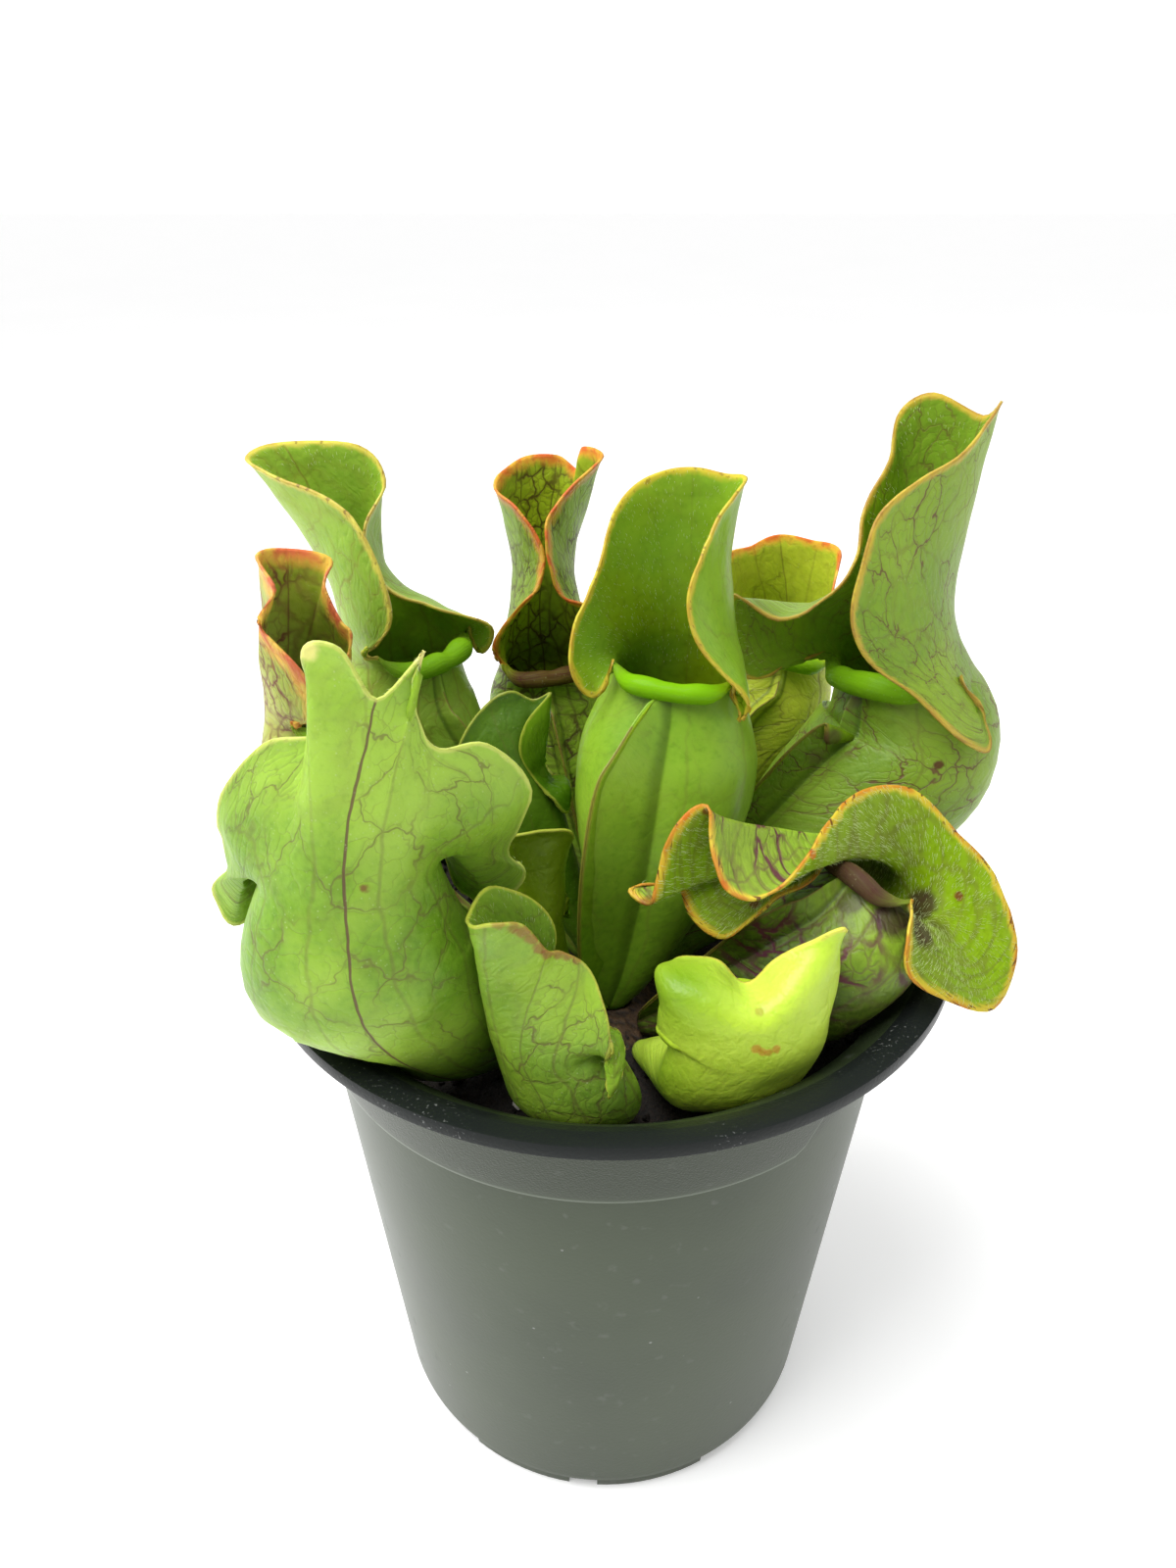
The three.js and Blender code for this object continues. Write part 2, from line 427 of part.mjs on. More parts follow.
// facing: the bearing of the wing side. span: how far round from the back the hood's edge reaches, on the
// left and on the right. lip: the rolled lip's height. wing: how far the wing stands out. wingLean: how far
// it leans over to the side for that. wingRise: below 1, the wing is wide nearer to its ends too.
// crest: which point of the hood's edge, counted from 0, stands over the back.
// path: the middle of the tube from foot to mouth. girth, at each of its points: half width, back, front.
// rim: the hood's edge from the lip's left corner over the top to its right corner, as x, y, z, and then
// how far the hood swells outwards and upwards below that point.
const leaves = {
  pitcher_front_left: {
    facing: 98, span: [130, 130], wing: 5, lip: 3, crest: 11,
    path: [[-5, -24, 130], [-17, -34, 138], [-37, -47, 151], [-48, -52, 170], [-49, -52, 191]],
    girth: [[3, 3, 3], [7, 6, 6], [16, 13, 12], [23, 17, 17], [17, 14, 14]],
    rim: [
      [-33, -38, 186, 1, 0], [-30, -39, 178, 2, 0], [-24, -41, 176, 2, 0], [-17, -42, 184, 3, 0],
      [-20, -44, 191, 3, 0], [-15, -48, 207, 3, 0], [-22, -52, 218, 2, 0], [-30, -56, 219, 2, 0],
      [-33, -57, 224, 1, 0], [-33, -58, 232, 1, 0], [-31, -56, 237, 1, 0], [-39, -60, 230, 0, 0],
      [-44, -60, 239, 1, 0], [-50, -59, 239, 1, 0], [-50, -58, 231, 1, 0], [-50, -58, 223, 1, 0],
      [-60, -56, 220, 2, 0], [-71, -52, 206, 3, 0], [-73, -48, 190, 3, 0], [-78, -45, 183, 2, 0],
      [-75, -46, 175, 2, 0], [-69, -42, 178, 1, 0], [-66, -40, 186, 1, 0],
    ],
  },
  pitcher_centre_tall: {
    facing: 255, span: [130, 130], wing: 11, wingLean: -1, wingRise: 0.5, lip: 2.5, crest: 7,
    path: [[1, -17, 130], [6, -13, 146], [11, -5, 167], [14, 3, 187], [16, 6, 206]],
    girth: [[3, 3, 3], [10, 8, 8], [18, 15, 15], [21, 18, 17], [15, 13, 12]],
    rim: [
      [-3, -3, 205, 2, 0], [-8, -4, 212, 3, 0], [-7, -1, 221, 3, 0], [-2, 5, 232, 2, 0],
      [1, 10, 242, 1, 0], [5, 13, 247, 0, 0], [11, 15, 250, 0, 0], [18, 15, 251, 0, 0],
      [25, 13, 250, 1, 0], [29, 9, 250, 2, 0], [23, 1, 245, 8, 0], [18, -5, 236, 10, 0],
      [16, -8, 228, 10, 0], [19, -9, 219, 9, 0], [27, -9, 210, 6, 0], [30, -8, 205, 4, 0],
      [28, -6, 201, 3, 0],
    ],
  },
  pitcher_back_right: {
    facing: 210, span: [140, 105], wing: 10, wingRise: 0.5, lip: 3, crest: 11,
    path: [[9, -4, 130], [31, 9, 145], [57, 17, 163], [74, 20, 182], [73, 22, 201]],
    girth: [[3, 3, 3], [11, 9, 9], [22, 18, 18], [24, 20, 20], [18, 16, 15]],
    rim: [
      [43, 20, 203, 1, 0], [33, 13, 203, 1, 0], [28, 14, 211, 1, 0], [28, 16, 222, 2, 6],
      [39, 13, 217, 3, 10],
      [51, 14, 223, 3, 8], [57, 19, 231, 3, 4], [59, 26, 239, 2, 0], [65, 32, 249, 1, 0],
      [67, 36, 259, 0, 0], [74, 36, 263, 0, 0], [84, 30, 259, 0, 0], [85, 24, 263, 2, 0],
      [75, 12, 255, 8, 0], [64, 4, 251, 12, 0], [55, -1, 245, 14, 0], [52, -4, 235, 15, 0],
      [51, -5, 224, 15, 0], [56, -4, 214, 12, 0], [67, -4, 206, 8, 0], [77, -6, 197, 5, 0],
      [86, -4, 192, 3, 0], [85, 1, 199, 2, 0],
    ],
  },
  pitcher_back_left: {
    facing: 318, span: [130, 130], wing: 6, lip: 3, crest: 7,
    path: [[-4, 3, 130], [-22, 17, 149], [-40, 25, 168], [-50, 28, 186], [-51, 29, 203]],
    girth: [[3, 3, 3], [8, 7, 7], [16, 14, 14], [19, 16, 16], [15, 13, 13]],
    rim: [
      [-56, 10, 210, 3, 0], [-49, 8, 217, 6, 0], [-49, 9, 226, 8, 0], [-54, 12, 238, 8, 0],
      [-61, 16, 244, 6, 0], [-75, 22, 248, 3, 0], [-81, 28, 251, 2, 0], [-75, 36, 252, 0, 0],
      [-58, 38, 251, 0, 0], [-52, 34, 244, 0, 0], [-56, 26, 236, 3, 2], [-56, 24, 228, 4, 4],
      [-51, 24, 220, 4, 6], [-40, 26, 215, 3, 6], [-28, 30, 209, 2, 3], [-31, 33, 201, 1, 0],
    ],
  },
  pitcher_left_red: {
    facing: 320, span: [130, 130], wing: 4, lip: 2.5, crest: 6,
    path: [[-7, -9, 130], [-36, -11, 150], [-56, -10, 168], [-65, -7, 184], [-66, -5, 200]],
    girth: [[2.5, 2.5, 2.5], [6, 5, 5], [11, 9, 9], [13, 11, 11], [10, 9, 9]],
    rim: [
      [-60, -18, 207, 3, 0], [-61, -18, 214, 4, 0], [-64, -17, 219, 5, 0], [-71, -13, 226, 4, 0],
      [-67, -13, 233, 4, 0], [-72, -6, 238, 2, 0], [-68, 2, 237, 0, 0],
      [-59, 2, 235, 1, 0], [-60, -2, 230, 3, 0], [-57, -4, 223, 3, 0], [-55, -5, 220, 3, 0],
      [-57, -6, 211, 2, 0],
    ],
  },
  pitcher_back_centre: {
    facing: 275, span: [130, 130], wing: 5, lip: 2.5, crest: 7,
    path: [[2, 10, 130], [-7, 28, 148], [-12, 40, 166], [-15, 46, 182], [-16, 46, 194]],
    girth: [[3, 3, 3], [7, 6, 6], [14, 12, 12], [16, 13, 13], [12, 11, 11]],
    rim: [
      [-28, 36, 203, 1, 0], [-21, 32, 214, 4, 0], [-16, 31, 219, 6, 0], [-15, 32, 228, 7, 0],
      [-21, 35, 237, 5, 0], [-27, 42, 241, 2, 0], [-21, 52, 245, 0, 0], [-12, 56, 245, 0, 0],
      [-7, 53, 242, 0, 0], [-6, 50, 248, 0, 0], [-1, 46, 247, 2, 0], [-8, 38, 242, 6, 0],
      [-14, 33, 235, 8, 0], [-14, 31, 226, 8, 0], [-11, 31, 217, 6, 0], [-4, 33, 213, 4, 0],
      [-2, 40, 200, 1, 0],
    ],
  },
  pitcher_far_back: {
    facing: 262, span: [130, 130], wing: 5, lip: 2.5, crest: 4,
    path: [[8, 13, 130], [25, 36, 150], [38, 50, 168], [46, 56, 180], [49, 57, 193]],
    girth: [[3, 3, 3], [8, 7, 7], [15, 12, 12], [17, 13, 13], [13, 11, 11]],
    rim: [
      [32, 46, 202, 1, 0], [30, 46, 213, 2, 0], [32, 54, 220, 1, 0], [39, 62, 220, 0, 0],
      [47, 66, 222, 0, 0], [56, 64, 221, 0, 0], [62, 58, 220, 1, 0], [59, 50, 211, 2, 0],
      [60, 47, 203, 1, 0],
    ],
  },
  pitcher_right_front: {
    facing: 205, span: [150, 125], wing: 7, wingRise: 0.5, lip: 2.4, crest: 16,
    path: [[9, -24, 130], [24, -29, 141], [38, -31, 149], [51, -30, 158], [59, -26, 168]],
    girth: [[3, 3, 3], [9, 8, 8], [17, 14, 14], [18, 15, 15], [14, 12, 12]],
    rim: [
      [43, -31, 176, 1, 0], [34, -35, 173, 1, 0], [24, -40, 167, 1, 0], [17, -38, 171, 1, 0],
      [14, -34, 176, 2, 0],
      [4, -38, 178, 2, 0], [8, -42, 177, 2, 2], [10, -40, 184, 2, 2], [13, -38, 193, 2, 0],
      [19, -36, 196, 2, 2], [20, -42, 188, 2, 6], [23, -46, 183, 2, 9], [29, -46, 181, 2, 10],
      [37, -41, 184, 2, 8], [45, -30, 189, 1, 4], [54, -20, 191, 0, 0], [66, -16, 189, 0, 0],
      [77, -18, 179, 0, 0], [85, -22, 171, 0, 0], [89, -32, 158, 0, 0], [82, -42, 150, 1, 0],
      [68, -48, 158, 1, 0], [60, -49, 165, 1, 0], [60, -46, 172, 1, 0],
    ],
  },
  pitcher_front_small: {
    facing: 70, span: [130, 130], wing: 3, lip: 1.5, crest: 6,
    path: [[-2, -32, 130], [-4, -45, 134], [-5.5, -54, 139], [-8, -58, 145], [-12, -58, 153]],
    girth: [[2.5, 2.5, 2.5], [6, 5, 4.5], [12.5, 8, 7], [14, 10, 9], [12, 9, 9]],
    rim: [
      [-2, -60, 156, 1, 0], [-3, -67, 151, 3, 0], [-1, -67, 158, 3, 0], [-1, -65, 166, 3, 0],
      [-4, -62, 176, 1, 0], [-9, -63, 181, 1, 0], [-12, -65, 183, 0, 0], [-16, -67, 190, 0, 0],
      [-21, -68, 191, 1, 0], [-25, -66, 189, 2, 0], [-26, -59, 187, 2, 0], [-23, -52, 188, 2, 0],
      [-15, -48, 182, 1, 0], [-11, -47, 174, 1, 0], [-13, -47, 164, 0, 0],
    ],
  },
  pitcher_front_right_young: {
    facing: 95, span: [125, 150], wing: 1, lip: 1.2, crest: 5,
    path: [[8, -33, 130], [13, -44, 137], [20, -53, 143], [26, -54, 151], [27, -54, 160]],
    girth: [[2.5, 2.5, 2.5], [6, 5, 5], [12, 9, 6], [17, 10, 6], [17.5, 9, 6]],
    rim: [
      [42, -46, 162, 2, 0], [45, -47, 170, 3, 1], [45, -51, 178, 1, 0], [40, -51, 175, 4, 4],
      [34, -50, 170, 6, 6], [27, -50, 163, 4, 2], [22, -48, 167, 7, 7], [17, -47, 167, 9, 8],
      [13, -47, 166, 7, 6], [11, -47, 161, 4, 2],
    ],
  },
  pitcher_middle: {
    facing: 100, span: [130, 130], wing: 3, lip: 1.6, crest: 8,
    path: [[0, -6, 130], [-8, -2, 147], [-13, 0, 158], [-17, 1, 168], [-20, 2, 178]],
    girth: [[2.5, 2.5, 2.5], [4.5, 4.5, 4.5], [6.5, 6.5, 6.5], [8, 7.5, 7.5], [8, 7, 7]],
    rim: [
      [-11, -2, 175, 1, 0], [-15, -3, 182, 2, 0], [-18, -2, 186, 2, 0], [-20, -2, 192, 2, 0],
      [-18, 0, 198, 2, 0], [-13, 4, 203, 2, 0], [-17, 5, 201, 1, 0], [-22, 5, 203, 2, 0],
      [-27, 3, 201, 3, 0], [-32, -1, 196, 2, 0], [-34, -3, 190, 2, 0], [-30, -2, 184, 1, 0],
    ],
  },
  pitcher_middle_young: {
    facing: 60, span: [130, 130], wing: 2, lip: 1.5, crest: 4,
    path: [[-6, -17, 130], [-10, -20, 140], [-14, -22, 150], [-15, -23, 158]],
    girth: [[2, 2, 2], [3.5, 3, 3], [5, 4.5, 4.5], [5, 4.5, 4.5]],
    rim: [
      [-10, -19, 167, 1, 0], [-9, -20, 175, 1, 0], [-8, -22, 182, 0, 0], [-14, -25, 184, 0, 0],
      [-21, -27, 184, 0, 0], [-23, -24, 181, 0, 0], [-21, -20, 175, 1, 0], [-18, -18, 168, 0, 0],
    ],
  },
};

// ---- the object ----
const finishes = {
  pot: { color: 0x5d6757, roughness: 0.5, metalness: 0 },
  peat: { color: 0x2a1e16, roughness: 0.95, metalness: 0 },
  rhizome: { color: 0x5a4128, roughness: 0.85, metalness: 0 },
  leaf: { color: 0x7fae3c, roughness: 0.45, metalness: 0 },
};

const pottedPlant = new THREE.Group();

function addPiece(name, geometry, finish) {
  const piece = new THREE.Mesh(geometry, new THREE.MeshStandardMaterial(finishes[finish]));
  piece.name = name;
  pottedPlant.add(piece);
}

let rhizome = rhizomeSolid(0);
let hole = rhizomeSolid(peatClearance);
for (const leaf of Object.values(leaves)) {
  const socket = socketSolid(leaf);
  rhizome = rhizome.subtract(socket);
  hole = hole.add(socket);
}

addPiece("pot", potGeometry(), "pot");
addPiece("peat", peatGeometry(hole), "peat");
addPiece("rhizome_and_roots", toGeometry(rhizome), "rhizome");
for (const [name, leaf] of Object.entries(leaves)) addPiece(name, leafGeometry(leaf), "leaf");

// the origin lies under the middle of the whole object
const box = new THREE.Box3().setFromObject(pottedPlant, true);
const centre = box.getCenter(new THREE.Vector3());
pottedPlant.position.set(-centre.x, -centre.y, -box.min.z);
pottedPlant.updateMatrixWorld(true);

export default pottedPlant;
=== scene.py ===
import math
import random

import bmesh
import bpy
from mathutils import Matrix, Vector, noise


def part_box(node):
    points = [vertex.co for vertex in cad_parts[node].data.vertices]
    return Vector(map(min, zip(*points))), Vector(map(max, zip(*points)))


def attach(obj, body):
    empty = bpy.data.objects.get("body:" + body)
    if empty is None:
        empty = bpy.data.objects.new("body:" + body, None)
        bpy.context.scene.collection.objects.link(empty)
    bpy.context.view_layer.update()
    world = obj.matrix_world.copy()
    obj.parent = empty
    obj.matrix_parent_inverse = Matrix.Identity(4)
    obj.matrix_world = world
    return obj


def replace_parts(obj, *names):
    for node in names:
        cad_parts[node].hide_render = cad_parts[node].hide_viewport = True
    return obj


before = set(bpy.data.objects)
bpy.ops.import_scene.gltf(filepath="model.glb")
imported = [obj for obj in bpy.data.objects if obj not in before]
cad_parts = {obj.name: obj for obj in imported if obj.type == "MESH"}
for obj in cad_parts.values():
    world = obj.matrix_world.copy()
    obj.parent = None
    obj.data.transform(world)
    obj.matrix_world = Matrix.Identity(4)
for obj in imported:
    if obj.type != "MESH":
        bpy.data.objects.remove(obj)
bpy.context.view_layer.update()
print("frame loaded:", len(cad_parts), "nodes")

mm = 0.001
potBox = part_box("pot")
potAxis = Vector(((potBox[0].x + potBox[1].x) / 2, (potBox[0].y + potBox[1].y) / 2, 0)) / mm
scene = bpy.context.scene


# shader maths
class Wire:  # one output in a material's nodes, so that sums on it read as plain expressions
    def __init__(self, tree, socket=None):
        self.tree = tree
        self.socket = socket

    def add(self, kind, settings=None, values=None, output=0):
        node = self.tree.nodes.new("ShaderNode" + kind)
        for name, setting in (settings or {}).items():
            setattr(node, name, setting)
        for name, value in (values or {}).items():
            if isinstance(value, Wire):
                self.tree.links.new(value.socket, node.inputs[name])
            else:
                node.inputs[name].default_value = value
        return Wire(self.tree, node.outputs[output])

    def math(self, operation, *values):
        return self.add("Math", {"operation": operation}, dict(enumerate(values)))

    def rise(self, low, high):  # smoothly from 0 to 1, or back down where low is the larger
        smooth = {"interpolation_type": "SMOOTHSTEP"}
        return self.add("MapRange", smooth, {"Value": self, "From Min": low, "From Max": high})

    def __add__(self, other):
        return self.math("ADD", self, other)

    def __sub__(self, other):
        return self.math("SUBTRACT", self, other)

    def __rsub__(self, other):
        return self.math("SUBTRACT", other, self)

    def __mul__(self, other):
        return self.math("MULTIPLY", self, other)

    def __truediv__(self, other):
        return self.math("DIVIDE", self, other)

    def __mod__(self, other):
        return self.math("FLOORED_MODULO", self, other)

    def __abs__(self):
        return self.math("ABSOLUTE", self)

    __radd__ = __add__
    __rmul__ = __mul__


def paint(red, green, blue):  # screen colour to Blender's linear colour
    return tuple(((part / 255 + 0.055) / 1.055) ** 2.4 for part in (red, green, blue)) + (1,)


def newMaterial(name, **sockets):  # the material, its shader, and a wire with the place on the object
    material = bpy.data.materials.new(name)
    material.use_nodes = True
    shader = material.node_tree.nodes["Principled BSDF"]
    for socket, value in sockets.items():
        shader.inputs[socket.replace("_", " ")].default_value = value
    return material, shader, Wire(material.node_tree).add("TexCoord", {}, {}, "Object")


def layered(base, *coats):  # base: a screen colour. a coat: how much of it shows, and its screen colour
    colour = paint(*base)
    for share, tone in coats:
        colour = share.add("Mix", {"data_type": "RGBA"}, {0: share, 6: colour, 7: paint(*tone)}, 2)
    return colour


def grain(place, size, detail=2.0, flatPattern=False):  # 0 to 1, about size metres across
    settings = {"noise_dimensions": "2D" if flatPattern else "3D"}
    return place.add("TexNoise", settings, {"Vector": place, "Scale": 1 / size, "Detail": detail})


def plug(wire, shader, socket):
    wire.tree.links.new(wire.socket, shader.inputs[socket])


def finishSkin(shader, colour, roughness, height, depth, strength=1.0):
    bump = height.add("Bump", {}, {"Height": height, "Distance": depth, "Strength": strength})
    plug(colour, shader, "Base Color")
    plug(roughness, shader, "Roughness")
    plug(bump, shader, "Normal")


def newMesh(name, bm, materials=(), smooth=True):
    mesh = bpy.data.meshes.new(name)
    for face in bm.faces:
        face.smooth = smooth
    bm.to_mesh(mesh)
    bm.free()
    for material in materials:
        mesh.materials.append(material)
    return mesh


def newObject(data):
    made = bpy.data.objects.new(data.name, data)
    scene.collection.objects.link(made)
    return made


def addPiece(data):
    piece = newObject(data)
    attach(piece, "root")
    return piece


# the leaves: their shape, in mm from the pot's axis
# Angles round a leaf: 0 is its back, 90 the side on the right of someone facing its wing, 180 the wing.
leafShape = dict(
    tubeRows=34, hoodRows=40, columnsPerRimPoint=6, lipColumns=12,
    wallThickness=0.6, wingHalfWidth=0.75,
    wingFlank=9,  # degrees from the wing's middle to where the lip ends
    lipRadius=0.68,  # of the leaf's lip height
    lipTurn=250,  # degrees that the lip rolls over
    lipWave=0.28, lipWaveSize=5,
    hoodRise=0.35, hoodMiddle=0.62, hoodEvening=2,
    edgeKept=0.45,  # how much of the edge's waves the middle of a hood follows
    hangClear=3,  # how far a folded hood stays off the tube
    wobble=0.35, swellSizes=(14, 6),
    flare=0.5, flareWidth=3, ruffle=0.5, ruffleSize=5, ruffleWidth=12,
    leanHeights=(136, 162), leanRadius=62, leanEvening=6,  # where a leaf can lean on the pot's rim
    uvScale=100,  # mm to one unit of the uv maps
)
potMouth = dict(height=152, depth=7, start=4, base=57.2, taper=0.0878, slope=1.05, free=1.4, gap=0.8)

# Where a leaf's own entry doesn't say. span: the angles from the back that the hood's edge reaches.
# wingRise: under 1, the wing is wide sooner. wingLean: how far it leans sideways.
leafDefaults = dict(span=(130, 130), wingRise=1, wingLean=0)

